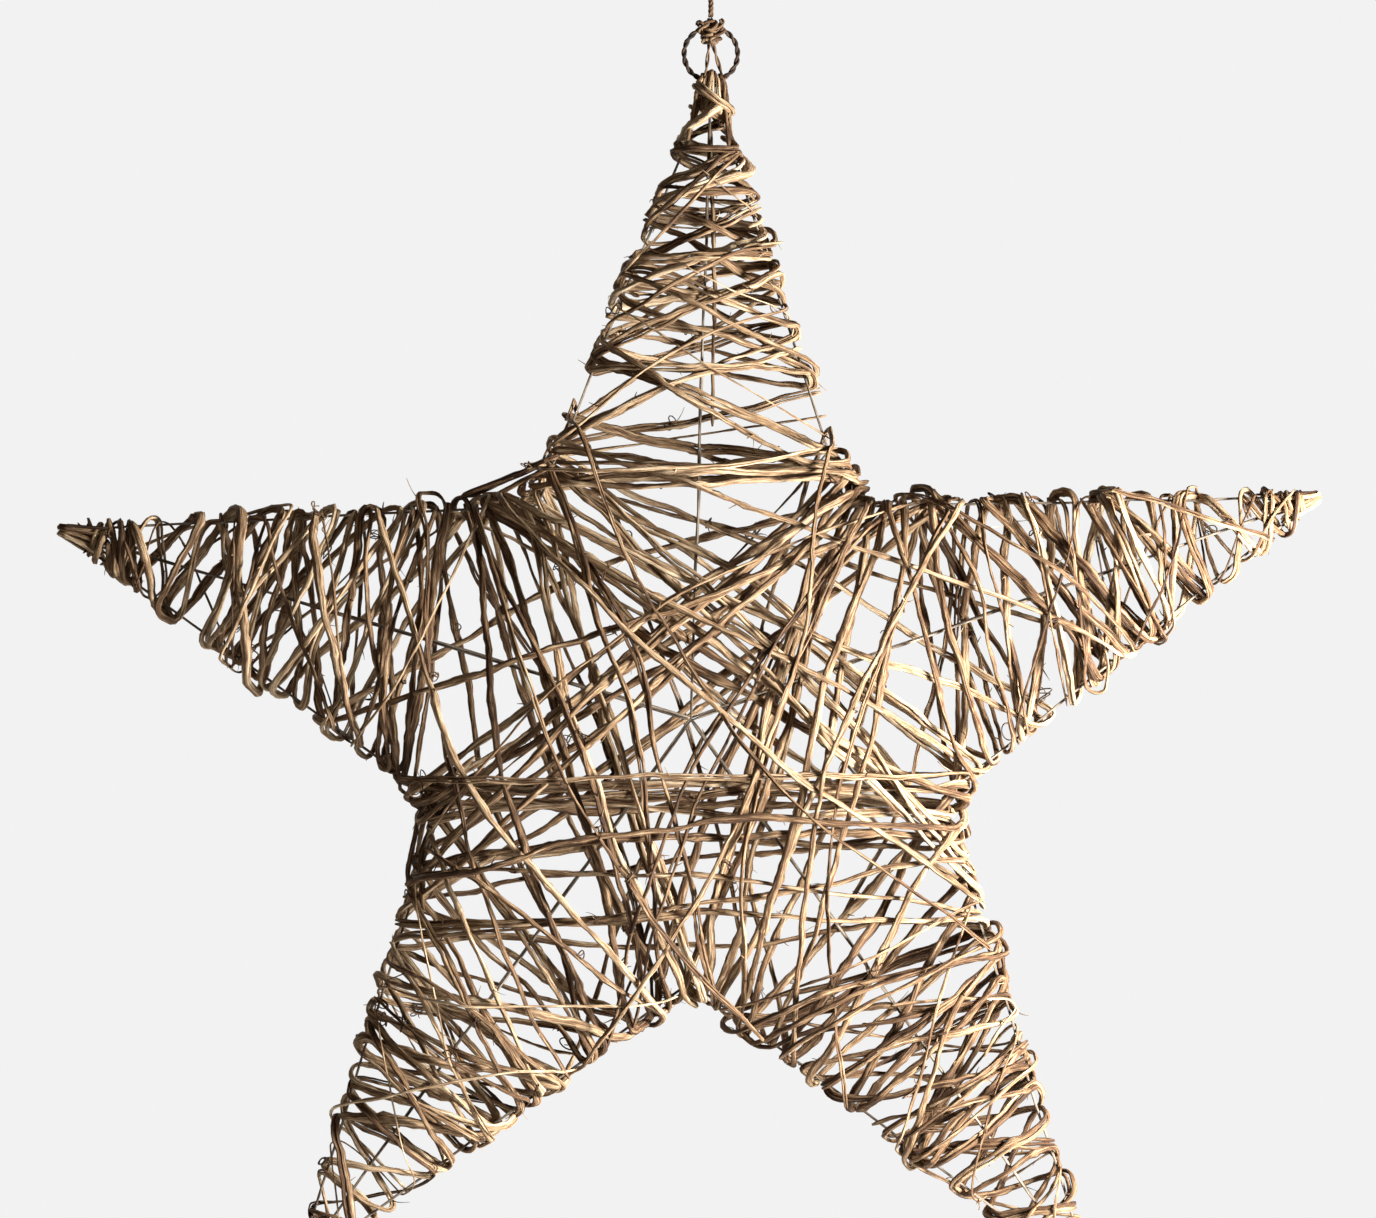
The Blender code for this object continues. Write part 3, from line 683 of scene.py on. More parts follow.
def nearest_edge(place):
    """Direction of the outline's edge that is nearest to a place of the plane."""
    edges = []
    for start, end in zip(OUTLINE, np.roll(OUTLINE, -1, axis=0)):
        along = end - start
        share = np.clip((place - start) @ along / (along @ along), 0, 1)
        edges.append((norm(place - start - share * along), unit(along)))
    return min(edges, key=lambda edge: edge[0])[1]


def opened(line, dice):
    """The same line with its turns round the outline opened into bows that lie along the edge."""
    along = run_length(line)
    crossings = [k for k in range(len(line) - 1) if line[k, 1] * line[k + 1, 1] <= 0]
    gaps = np.diff([0.0] + [along[k] for k in crossings] + [along[-1]])
    shift = np.zeros_like(line)
    for k, room in zip(crossings, np.minimum(gaps[:-1], gaps[1:])):
        reach = min(BOW_REACH, BOW_ROOM * room) * dice.uniform(*BOW_REACH_RANGE)
        width = BOW_WIDTH * min(1, reach / BOW_REACH) * dice.uniform(*BOW_WIDTH_RANGE)
        edge = lifted(nearest_edge(line[k][[0, 2]]), 0, 1)
        look = min(LOOK, LOOK_ROOM * room)
        before = line[np.searchsorted(along, along[k] - look)]
        after = line[min(np.searchsorted(along, along[k] + look), len(line) - 1)]
        toward = 1 if (before - after) @ edge > 0 else -1
        past = (along - along[k]) / reach
        shift -= toward * width * (past * np.exp(1 - np.abs(past)))[:, None] * edge
    return line + shift


def pressed(line):
    """The same line with the outermost layers in front and behind pressed together."""
    proud = np.maximum(np.abs(line[:, 1]) - PRESS_FROM, 0)
    kept = PRESS_RANGE * (1 - np.exp(-proud / PRESS_RANGE))
    line = line.copy()
    line[:, 1] -= np.sign(line[:, 1]) * (proud - kept)
    return line


def moving_frame(line, beside=(0.31, 0.87, 0.38)):
    """Directions across a line that turn as little as they can, the first across `beside`."""
    tangents = np.gradient(line, axis=0)
    tangents /= norm(tangents, axis=1)[:, None]
    normal = np.cross(tangents[0], beside)
    normals = np.empty_like(line)
    for k, tangent in enumerate(tangents):
        normal = normal - tangent * (normal @ tangent)
        normal = normal / math.sqrt(normal @ normal)
        normals[k] = normal
    return normals, np.cross(tangents, normals)


def turned(normals, sideways, angles):
    """Directions across a line at the given angles."""
    return normals * np.cos(angles)[..., None] + sideways * np.sin(angles)[..., None]


def waver(along, length, dice):
    """A smooth random run of values between about -1 and 1."""
    total = np.zeros_like(along)
    for _ in range(WAVES):
        wave = length * dice.uniform(*WAVE_RANGE)
        total += np.sin(math.tau * along / wave + dice.uniform(0, math.tau))
    return total / 2


class Skin:
    """Collects the surfaces of strands, and makes one piece of them."""

    def __init__(self, seed):
        self.dice = random.Random(seed)
        self.points, self.barks, self.tones, self.faces = [], [], [], []
        self.count = 0

    def add(self, line, radii, sides, ridge=RIDGE, spin=SPIN, tone=0.5, round_ends=False):
        """One strand along a line of points, with lengthwise ridges that wind round it."""
        dice = self.dice
        normals, sideways = moving_frame(line)
        along = run_length(line)
        radii = np.broadcast_to(radii, along.shape)[:, None]
        turns = math.tau * np.arange(sides) / sides
        phases = [dice.uniform(0, math.tau) for _ in range(2)]
        twist = RIDGE_SWAY * waver(along, RIDGE_LENGTH, dice)[:, None]
        swell = 1 + ridge * (np.cos(2 * turns + phases[0] + twist)
                             + SIDE_RIDGE * np.cos(3 * turns + phases[1]))
        rough = np.array([[dice.uniform(-1, 1) for _ in turns] for _ in along])
        knobs = np.array([[dice.uniform(-1, 1)] for _ in along])
        size = radii * swell * (1 + ROUGHNESS * ridge * rough + KNOBS * ridge * knobs)
        if round_ends:
            size[[0, -1]] *= END_SIZE
        outward = turned(normals[:, None], sideways[:, None], turns + spin * along[:, None])
        bark = (radii * np.cos(turns), radii * np.sin(turns),
                along[:, None] + dice.uniform(0, BARK_OFFSET))
        self.points.append((line[:, None] + size[..., None] * outward).reshape(-1, 3))
        self.barks.append(np.stack(np.broadcast_arrays(*bark), axis=-1).reshape(-1, 3))
        self.tones.append(np.full(size.size, tone))
        rings = self.count + np.arange(size.size).reshape(size.shape)
        after = np.roll(rings, -1, axis=1)
        quads = np.stack([rings[:-1], after[:-1], after[1:], rings[1:]], axis=-1)
        self.faces += quads.reshape(-1, 4).tolist() + [rings[0, ::-1].tolist(), rings[-1].tolist()]
        self.count += size.size

    def vine(self, points, radius, taper=TAPER, sides=7, step=STEP, stems=0, bows=False, tone=None,
             shreds=True):
        """A vine with bark along its path, with one to three stems side by side."""
        dice = self.dice
        line = rounded(points, step)
        if bows:
            line = pressed(opened(line, dice))
        along = run_length(line)
        normals, sideways = moving_frame(line, (0.04, 1.0, 0.03))
        for axis, strays in zip((normals, sideways), STRAYS):
            shift = sum(size * waver(along, length, dice) for size, length in strays)
            line = line + axis * shift[:, None] * min(1, radius / VINE_RADII["main"])
        radii = radius * (1 - taper * along / along[-1])
        if not stems:
            stems = dice.choices((1, 2, 3), STEM_SHARES)[0] if radius > THIN else 1
        if tone is None:
            tone = dice.uniform(0, 1)
        turn = dice.uniform(-TWIST, TWIST) * along + TWIST_SWAY * waver(along, TWIST_LENGTH, dice)
        beside = turned(normals, sideways, turn)
        for stem in range(stems):
            spacing = STEM_SPACINGS[stems - 1] * (1 + LOOSENESS * waver(along, LOOSE_LENGTH, dice))
            off = radii * spacing * (stem - (stems - 1) / 2)
            size = STEM_SIZES[stems - 1] * dice.uniform(*STEM_RANGE)
            size = size * (1 + SWELL * waver(along, SWELL_LENGTH, dice))
            node = dice.uniform(0, NODE_SPACING[1])
            while node < along[-1]:
                knot = np.exp(-((along - node) / NODE_LENGTH) ** 2)
                size = size * (1 + dice.uniform(*NODE_SIZE) * knot)
                node += dice.uniform(*NODE_SPACING)
            own_tone = clamped(tone + dice.uniform(-STEM_TONE_RANGE, STEM_TONE_RANGE), 0, 1)
            self.add(line + beside * off[:, None], radii * size, sides if stems == 1 else sides - 1,
                     tone=own_tone, spin=dice.uniform(-SPIN, SPIN), round_ends=True)
        if shreds:
            self.shreds(line, radii, normals, sideways)

    def shreds(self, line, radii, normals, sideways):
        """Shreds of bark along a vine, each a thin bent spike."""
        dice = self.dice
        along = run_length(line)
        steps = np.linspace(0, 1, SHRED_POINTS)[:, None]
        narrowing = np.linspace(1, SHRED_END, SHRED_POINTS)
        place = dice.expovariate(1 / SHRED_SPACING)
        while place < along[-1]:
            k = min(int(np.searchsorted(along, place)), len(line) - 2)
            turn = dice.uniform(0, math.tau)
            out = normals[k] * math.cos(turn) + sideways[k] * math.sin(turn)
            forward = unit(line[k + 1] - line[k]) * dice.choice((-1, 1)) * dice.uniform(*SHRED_LEAN)
            curl = np.cross(forward, out) * dice.uniform(-SHRED_SIDE, SHRED_SIDE)
            curl = curl - out * dice.uniform(*SHRED_BEND)
            reach = steps * (out + forward) / SHRED_SLOPE + steps ** 2 * curl
            spike = line[k] + out * radii[k] * SHRED_FOOT + dice.uniform(*SHRED_LENGTH) * reach
            thin = SHRED_RADIUS * dice.uniform(*SHRED_SIZE) * narrowing
            self.add(spike, thin, sides=4, ridge=0.0, tone=dice.uniform(0, 1))
            if dice.random() < TENDRIL_SHARE:
                self.tendril(line[k], out, unit(np.cross(out, forward)))
            if dice.random() < TANGLE_SHARE:
                self.tangle(line[k] + out * radii[k])
            place += dice.expovariate(1 / SHRED_SPACING)

    def dried(self, curl, share, sides, palest):
        """A thin, mostly dark strand along a curl."""
        thin = TENDRIL_RADIUS * (1 - TENDRIL_TAPER * share)
        self.add(curl, thin, sides, ridge=0.05, tone=self.dice.uniform(0, palest))

    def tangle(self, foot):
        """A small dark tangle of dried tendril."""
        share = np.linspace(0, 1, TANGLE_POINTS)
        curl = np.stack([waver(share, TANGLE_WAVE, self.dice) for _ in range(3)], axis=1)
        curl = (curl - curl[0]) * self.dice.uniform(*TANGLE_SIZE)
        self.dried(foot + curl, share, sides=4, palest=0.15)

    def tendril(self, foot, outward, sideways):
        """A dried tendril that curls up where a twig stood."""
        turns = self.dice.uniform(*TENDRIL_TURNS)
        size = self.dice.uniform(*TENDRIL_SIZE)
        share = np.linspace(0, 1, int(TENDRIL_POINTS * turns) + 4)[:, None]
        angle = math.tau * turns * share
        reach = size * (1 - TENDRIL_CLOSING * share)
        curl = (outward * (size - reach * np.cos(angle)) + sideways * (reach * np.sin(angle))
                + np.cross(outward, sideways) * (share * size * self.dice.uniform(-1, 1)))
        self.dried(foot + curl, share[:, 0], sides=5, palest=0.4)

    def piece(self, name, replaced=None, bark_name="vine_bark"):
        """The piece of all that was added, and the solid that it takes the place of."""
        material, slot_name = BARKS[bark_name]
        mesh = bpy.data.meshes.new(name)
        mesh.from_pydata((np.concatenate(self.points) + CENTRE).tolist(), [], self.faces)
        bark = mesh.attributes.new("bark", "FLOAT_VECTOR", "POINT")
        bark.data.foreach_set("vector", np.concatenate(self.barks).astype(np.float32).ravel())
        tone = mesh.attributes.new("tone", "FLOAT", "POINT")
        tone.data.foreach_set("value", np.concatenate(self.tones).astype(np.float32))
        mesh.materials.append(material)
        mesh.shade_smooth()
        item = bpy.data.objects.new(name, mesh)
        bpy.context.collection.objects.link(item)
        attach(item, "root")
        if replaced:
            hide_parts(replaced)
        return item


class Nodes:
    """Short hand for a tree of nodes. An input that is given a socket is linked to it."""

    def __init__(self, owner):
        owner.use_nodes = True
        self.tree = owner.node_tree

    def put(self, socket, value):
        if isinstance(value, bpy.types.NodeSocket):
            self.tree.links.new(value, socket)
        else:
            socket.default_value = value

    def make(self, kind, inputs=(), output=0, **settings):
        """One output of a new node."""
        node = self.tree.nodes.new("ShaderNode" + kind)
        for name, value in settings.items():
            setattr(node, name, value)
        for key, value in dict(inputs).items():
            self.put(node.inputs[key], value)
        return node.outputs[output]

    def noise(self, vector, scales, detail, rough):
        """Noise on coordinates that are first stretched by three scales."""
        stretched = self.make("VectorMath", {0: vector, 1: scales}, operation="MULTIPLY")
        return self.make("TexNoise", {"Vector": stretched, "Scale": 1.0, "Detail": detail,
                                      "Roughness": rough}, "Fac")

    def math(self, operation, a, b):
        return self.make("Math", {0: a, 1: b}, operation=operation)

    def shade(self, **inputs):
        """Inputs of the surface's shader, with _ for a space in their names."""
        shader = self.tree.nodes["Principled BSDF"]
        for name, value in inputs.items():
            self.put(shader.inputs[name.replace("_", " ")], value)


# Bark: the scales of its fibres, of the streaks along a stem and of the patches over the object,
# what each weighs in its colour, and where on its colours the middle lies.
FIBRE_SCALES = (1700, 1700, 110)
STREAK_SCALES = (700, 700, 22)
PATCH_SCALES = (32, 32, 32)
CONTRAST = 1.4
STREAK_WEIGHT = 0.75
PATCH_WEIGHT = 0.34
MEAN_BARK = 0.38
BARK_ROUGHNESS = (0.55, 0.9)
BUMP = {"Strength": 0.9, "Distance": 0.8 * MM}

# Each material's slot, how much the tone of a strand weighs, its metal, and its colours from dark
# to light with their places.
MATERIALS = {
    "vine_bark": ("vine", 0.42, 0.0, (
        (0.1, (0.024, 0.01, 0.004)), (0.3, (0.098, 0.048, 0.021)), (0.47, (0.232, 0.145, 0.077)),
        (0.63, (0.42, 0.298, 0.182)), (0.88, (0.76, 0.62, 0.44)))),
    "ring_bark": ("ring_vine", 0.42, 0.0, (
        (0.15, (0.01, 0.006, 0.004)), (0.45, (0.04, 0.023, 0.014)), (0.85, (0.15, 0.095, 0.058)))),
    "jute_twine": ("twine", 0.2, 0.0, (
        (0.15, (0.05, 0.025, 0.013)), (0.45, (0.18, 0.105, 0.056)), (0.85, (0.42, 0.29, 0.17)))),
    "brown_cord": ("twine", 0.2, 0.0, (
        (0.15, (0.03, 0.015, 0.008)), (0.45, (0.12, 0.062, 0.034)), (0.85, (0.26, 0.15, 0.085)))),
    "frame_wire": ("frame_wire", 0.2, 0.6, (
        (0.2, (0.07, 0.052, 0.038)), (0.5, (0.24, 0.195, 0.15)), (0.85, (0.48, 0.42, 0.35)))),
}


def bark_material(name, tone_weight, metal, stops):
    """Fibrous bark: streaks along the stem, patches over the object, and a tone for each stem."""
    material = bpy.data.materials.new(name)
    make = Nodes(material)
    bark = make.make("Attribute", output="Vector", attribute_name="bark")
    fibre = make.noise(bark, FIBRE_SCALES, detail=5.0, rough=0.7)
    streak = make.noise(bark, STREAK_SCALES, detail=3.0, rough=0.6)
    place = make.make("TexCoord", output="Object")
    patch = make.noise(place, PATCH_SCALES, detail=3.0, rough=0.6)
    tone = make.make("Attribute", output="Fac", attribute_name="tone")
    value = make.math("MULTIPLY", fibre, CONTRAST)
    for source, weight in ((streak, STREAK_WEIGHT * CONTRAST), (patch, PATCH_WEIGHT),
                           (tone, tone_weight)):
        value = make.math("ADD", value, make.math("MULTIPLY", source, weight))
    middle = ((1 + STREAK_WEIGHT) * CONTRAST + PATCH_WEIGHT + tone_weight) / 2
    value = make.math("SUBTRACT", value, middle - MEAN_BARK)
    colour = make.make("ValToRGB", {"Fac": value})
    band = colour.node.color_ramp
    while len(band.elements) < len(stops):
        band.elements.new(0.5)
    for element, (place, shade) in zip(band.elements, stops):
        element.position = place
        element.color = (*shade, 1)
    low, high = BARK_ROUGHNESS
    rough = make.math("ADD", make.math("MULTIPLY", fibre, high - low), low)
    bump = make.make("Bump", {"Height": make.math("ADD", fibre, streak), **BUMP})
    make.shade(Base_Color=colour, Roughness=rough, Normal=bump, Specular_IOR_Level=0.25,
               Metallic=metal)
    return material


BARKS = {name: (bark_material(name, *looks), slot) for name, (slot, *looks) in MATERIALS.items()}

# Twisted strands: radius, plies, the length of a turn, sides, and as shares of the radius how far
# from the middle a ply lies and how thick it is.
CORD = (CORD_RADIUS, 3, 7.5 * MM, 7, 0.56, 0.64)
END_KNOT = (CORD_RADIUS, 3, 7.5 * MM, 7, 0.54, 0.5)
KNOT = (1.5 * MM, 2, 12.0 * MM, 6, 0.54, 0.5)
KNOT_END = (1.35 * MM, 2, 12.0 * MM, 6, 0.54, 0.5)
RING = (RING_SECTION, 2, 9.5 * MM, 8, 0.52, 0.62)
TIE = (1.05 * MM, 2, 18.0 * MM, 6, 0.54, 0.5)
PLY_RIDGE = 0.07
PLY_TONE_RANGE = 0.2
CORD_STEP = 0.5 * MM
TWINE_STEP = 0.6 * MM


def rope(skin, line, kind, tone):
    """Plies twisted round a line."""
    radius, plies, lay_length, sides, spread, ply_size = kind
    normals, sideways = moving_frame(line)
    along = run_length(line)
    for ply in range(plies):
        turn = math.tau * (along / lay_length + ply / plies)
        own_tone = clamped(tone + skin.dice.uniform(-PLY_TONE_RANGE, PLY_TONE_RANGE), 0, 1)
        skin.add(line + turned(normals, sideways, turn) * radius * spread, radius * ply_size, sides,
                 ridge=PLY_RIDGE, tone=own_tone, round_ends=True)


def coil(turns, steps):
    """The angles of a coil, and the share of its way at each."""
    share = np.arange(steps + 1) / steps
    return math.tau * turns * share, share


def circle(centre, radius, steps, start):
    """Points of a circle in the star's plane."""
    angles = start + coil(1, steps)[0]
    return np.stack([np.cos(angles), 0 * angles, np.sin(angles)], axis=1) * radius + centre


# The steps of the cord and its loop, and the end knot's turns and how high and wide they go.
CORD_STEPS = 16
LOOP_STEPS = 60
END_KNOT_TURNS = 3.0
END_KNOT_HEIGHT = 1.6
END_KNOT_WIDTH = 0.62


def make_cord():
    """The taut brown cord from the ring's knot to the loop that is hung up."""
    route = np.array([(HANG_X, 0, CORD_FOOT_Z + CORD_LENGTH * k / CORD_STEPS)
                      for k in range(CORD_STEPS + 1)])
    skin = Skin(1)
    rope(skin, spaced(route, CORD_STEP), CORD, tone=0.45)
    cord = skin.piece("cord_strands", "hanging_cord", "brown_cord")
    skin = Skin(2)
    rope(skin, circle((HANG_X, 0, LOOP_Z), LOOP_RADIUS, LOOP_STEPS, -math.pi / 2), CORD, tone=0.45)
    turn, share = coil(END_KNOT_TURNS, LOOP_STEPS)
    height = END_KNOT_RADIUS * END_KNOT_HEIGHT * (share - 0.5)
    reach = np.sqrt(END_KNOT_RADIUS ** 2 - height ** 2) * END_KNOT_WIDTH
    turns = np.stack([reach * np.cos(turn), reach * np.sin(turn), height], axis=1)
    rope(skin, spaced(turns + (HANG_X, 0, END_KNOT_Z), CORD_STEP), END_KNOT, tone=0.4)
    end_loop = skin.piece("cord_end_loop", "cord_loop", "brown_cord")
    knot = make_knot()


# The knot on the ring: how far its strands stay inside its outline, the turns wound round it (their
# half width and depth, how they drift, their height and number), and in millimetres from its middle
# its side loop and its two ends.
KNOT_INSET = 1.1 * MM
KNOT_STRETCH = (1.05, 1.0, 0.95)
KNOT_PHASES = (0.4, 0.9, 0.3)
KNOT_STEPS = 160
BAND_STEPS = 80
BAND_TURNS = 2.5
BAND_SIZE = (3.4 * MM, 3.0 * MM)
BAND_DRIFT = 0.8 * MM
DRIFT_RATE = 0.7
BAND_HEIGHT = 6.0 * MM
KNOT_ENDS = (
    ((2.0, -2.6, 0.0), (4.6, -3.0, 2.0), (5.6, -2.4, 4.6), (4.6, -2.2, 5.8)),
    ((-1.0, -2.4, 1.2), (-3.8, -2.6, 3.6), (-5.8, -2.0, 4.4), (-6.8, -1.2, 2.6)),
    ((1.5, -2.4, -3.0), (4.6, -2.8, -1.4), (6.2, -1.6, 0.8), (5.2, -0.6, 2.4)),
)


def make_knot():
    """The twine knot on the ring's top: crossing turns, a side loop and two cut ends."""
    skin = Skin(3)
    middle = (HANG_X, 0, KNOT_Z)
    sizes = np.array([KNOT_HALF_WIDTH, KNOT_HALF_DEPTH, KNOT_HALF_HEIGHT]) - KNOT_INSET
    turns = np.linspace(0, math.tau, KNOT_STEPS + 1)
    across, deep, high = KNOT_PHASES
    tangle = np.stack([np.cos(2 * turns) * np.cos(3 * turns + across), np.sin(3 * turns + deep),
                       np.sin(2 * turns + high)], axis=1) * (sizes * KNOT_STRETCH)
    rope(skin, spaced(tangle + middle, TWINE_STEP), KNOT, tone=0.35)
    turn, share = coil(BAND_TURNS, BAND_STEPS)
    band = np.stack([BAND_SIZE[0] * np.cos(turn) + BAND_DRIFT * np.sin(turn * DRIFT_RATE),
                     BAND_SIZE[1] * np.sin(turn), BAND_HEIGHT * (share - 0.5)], axis=1)
    rope(skin, spaced(band + middle, TWINE_STEP), KNOT, tone=0.5)
    for end in KNOT_ENDS:
        rope(skin, rounded(np.array(end) * MM + middle, TWINE_STEP), KNOT_END, tone=0.55)
    return skin.piece("knot_turns", "cord_knot", "jute_twine")


make_cord()

# The ring's points, and how far the tie goes up into the knot.
RING_STEPS = 150
TIE_RISE = 1.5 * MM


def make_ring_and_tie():
    """The ring of two vines twisted together, and the twine that ties it to the top tip."""
    skin = Skin(4)
    rope(skin, circle((HANG_X, 0, RING_Z), RING_RADIUS, RING_STEPS, math.pi / 2), RING, tone=0.5)
    skin.piece("ring_strands", "hanging_ring", "ring_bark")
    skin = Skin(5)
    off = RING_SECTION + TIE_RADIUS + CLEARANCE
    beside_eye = WIRE_RADIUS + TIE_RADIUS + CLEARANCE + TIE_SLACK
    top = KNOT_Z - KNOT_HALF_HEIGHT - CLEARANCE - TIE_RADIUS + TIE_RISE
    bottom = RING_BOTTOM_Z - off - TIE_DIP
    tie = [(-TIE_RADIUS - CLEARANCE, 0, top), (-beside_eye, -off, RING_BOTTOM_Z + off),
           (-beside_eye, -off, RING_BOTTOM_Z - off / 2), (-beside_eye, 0, bottom),
           (beside_eye, 0, bottom), (TIE_SPREAD, off, RING_BOTTOM_Z - off / 2),
           (TIE_SPREAD, off, RING_BOTTOM_Z + off), (TIE_RADIUS + CLEARANCE, 0, top)]
    rope(skin, rounded(np.array(tie) + (HANG_X, 0, 0), TWINE_STEP), TIE, tone=0.35)
    skin.piece("tie_strands", "apex_tie", "jute_twine")


make_ring_and_tie()

# The wires as the photo shows them, a little uneven.
SEEN_WIRE_RADIUS = 0.65 * MM
WIRE_SIDES = 8
WIRE_STEP = 6.0 * MM
WIRE_WAVER = 0.4 * MM
WIRE_WAVE = 80.0 * MM
EYE_STEPS = 40


def make_wires():
    """The frame's wires, round and slightly uneven, and the eye at the top tip."""
    skin = Skin(6)
    for start, end in frame_wires():
        line = spaced(np.array([start, end]), WIRE_STEP)
        along = np.linspace(0, norm(end - start), len(line))
        normals, sideways = moving_frame(line)
        fade = np.sin(math.pi * along / along[-1])[:, None]
        uneven = waver(along, WIRE_WAVE, skin.dice)[:, None]
        line = line + (normals + sideways) * fade * WIRE_WAVER * uneven
        skin.add(line, SEEN_WIRE_RADIUS, WIRE_SIDES, ridge=0.03, tone=skin.dice.uniform(0.3, 0.7),
                 round_ends=True)
    eye = circle((0, 0, 0), EYE_RADIUS, EYE_STEPS, math.pi / 2)[:, [1, 0, 2]] + (HANG_X, 0, EYE_Z)
    skin.add(eye, SEEN_WIRE_RADIUS, WIRE_SIDES, ridge=0.02)
    skin.piece("frame_wires", "wire_frame", "frame_wire")


# How thick and how pale the photo shows some of the vines, and the number of their stems. Each
# piece has its own random run, numbered from these on.
SEEN_SIZE = 1.1
SLIMMER = {"vine_across_upper_body": 0.75}
STEMS = {"vine_front_double": 2, "vine_across_upper_body": 1}
TONES = {"vine_across_upper_body": 0.6, "slender_vines_top_arm_root": 0.6,
         "slender_vines_top_arm_foot": 0.6}
VINE_SEED, SLENDER_SEED, TIP_SEED, LOOSE_SEED = 100, 200, 300, 400


def make_vines():
    """Every vine with its bark, those of the solids first, then the slender ones on top."""
    vines, pile = wind_star()
    for number, (name, line, radius) in enumerate(vines):
        skin = Skin(VINE_SEED + number)
        radius *= SLIMMER.get(name, SEEN_SIZE)
        skin.vine(line, radius, stems=STEMS.get(name, 0), bows=True, tone=TONES.get(name))
        skin.piece(name.replace("vine_", "bark_", 1), name)
    for number, (name, group) in enumerate(wind_more(pile).items()):
        skin = Skin(SLENDER_SEED + number)
        for line, radius in group:
            skin.vine(line, radius, sides=6, bows=True, tone=TONES.get(name))
        skin.piece(name)


make_wires()
make_vines()

# The strands hooked over the tips: how many, how thick, how long in millimetres, how far their
# places vary, the share of the arm's width they fill, their room, and the places of their bends.
TIP_STRANDS = 8
TIP_STRAND_RADIUS = 1.15 * MM
TIP_STRAND_SIZES = (0.75, 1.1)
HOOKED_LENGTH = (19, 26)
HOOKED_RANGE = 0.12
HOOKED_WIDTH = 0.8
HOOKED_EDGE = 1.9 * MM
HOOKED_SPARE = 2.8 * MM
HOOKED_KNEE = 9.0 * MM
HOOKED_NOSE = 1.5 * MM
HOOKED_PAST = 1.2 * MM

# The strands on the ring: their number and sizes, and in millimetres their length, how much longer
# the outer ones are and how much it varies. Their path over the ring is in shares of their place
# beside its middle and of their room before and behind it, and in millimetres above it.
RING_STRANDS = TIP_STRANDS + 3
RING_STRAND_SIZES = (0.6, 1.0)
RING_STRAND_LENGTHS = (11, 18, 3)
RING_STRAND_RANGE = 0.08
HOOK_HALF_WIDTH = 6.2 * MM
HOOK_WIDTH = 0.6
HOOK_FADE = 60.0 * MM
HOOK_SPARE = 2.4 * MM
HOOK_ARCH = 2.4 * MM
HOOK_OFF = 0.5 * MM
HOOK_STEP = 1.2 * MM
HOOK_TOP = 0.66
HOOK_ROUTE = ((1, -1, -4.0), (0.8, -0.8, -1.6), (HOOK_TOP, 0, 0.5), (0.8, 0.8, -1.6), (1, 1, -4.0))

# Turns near each tip, lengths in millimetres: first and last distance from the tip, turns, radius,
# room below them, slant, stems.
TIP_WRAPS = {
    "top": (
        (4, 13, 1.3, 2.1, 6.4, -2.5, 2),
        (15, 66, 2.5, 1.8, 4.0, 3.5, 2),
        (22, 56, -1.5, 1.5, 3.8, -3.0, 1),
        (72, 30, 1.5, 1.2, 4.2, 4.0, 1),
    ),
    "left": ((14, 21, 2.0, 1.8, 2.9, 0.5, 1), (24, 40, -2.5, 1.8, 2.9, 4.0, 1)),
    "left_leg": ((10, 17, 2.0, 1.7, 3.0, 0.5, 1), (18, 34, -2.0, 1.4, 3.2, 3.0, 2)),
    "right_leg": ((9, 18, -2.0, 1.6, 3.0, 0.5, 2), (16, 32, 2.5, 1.3, 3.2, -3.0, 1)),
    "right": (
        (5, 16, 1.5, 1.0, 3.0, 1.5, 1),
        (20, 8, 1.5, 0.9, 3.2, -2.5, 1),
        (14, 34, -2.0, 1.4, 3.0, 4.0, 2),
    ),
}
WRAP_STEPS = 12
WRAP_RISE = 1.8 * MM
WRAP_DRIFT = 0.4
WRAP_TONES = (0.25, 0.85)
WRAP_TAPER = 0.1


def arm_place(arm, inward, across, forward):
    """Point near an arm's tip: how far inward, to its side, and before the star's plane."""
    tip = OUTLINE[2 * arm]
    left, right = [unit(OUTLINE[(2 * arm + step) % 10] - tip) for step in (1, -1)]
    middle = unit(left + right)
    return lifted(tip + middle * inward + np.array([middle[1], -middle[0]]) * across, forward, 1)


def arm_half_width(arm, inward):
    """Half the width of an arm's outline at a distance from its tip."""
    left, right = [OUTLINE[(2 * arm + step) % 10] - OUTLINE[2 * arm] for step in (1, -1)]
    return inward * math.tan(math.acos(left @ right / (norm(left) * norm(right))) / 2)


def arm_half_depth(arm, inward):
    """Half the depth of the frame at a distance from an arm's tip."""
    return inward * FRAME_DEPTH / 2 / ARM_REACHES[arm]


def hooked_strands(skin, arm):
    """Strands that come up the front of an arm, hook over its tip and go down behind."""
    for share in np.linspace(-1, 1, TIP_STRANDS):
        length = skin.dice.uniform(*HOOKED_LENGTH) * MM
        share += skin.dice.uniform(-HOOKED_RANGE, HOOKED_RANGE)
        front = [(length, 1), (HOOKED_KNEE, 1), (HOOKED_NOSE, 1)]
        points = []
        for inward, side in front + [(-HOOKED_PAST, 0)] + [(place, -1) for place, _ in front[::-1]]:
            room = max(inward, 0)
            across = share * (arm_half_width(arm, room) * HOOKED_WIDTH + HOOKED_EDGE)
            forward = side * (arm_half_depth(arm, room) + HOOKED_SPARE)
            points.append(arm_place(arm, inward, across, forward))
        radius = TIP_STRAND_RADIUS * skin.dice.uniform(*TIP_STRAND_SIZES)
        skin.vine(points, radius, stems=1, sides=6, shreds=False)


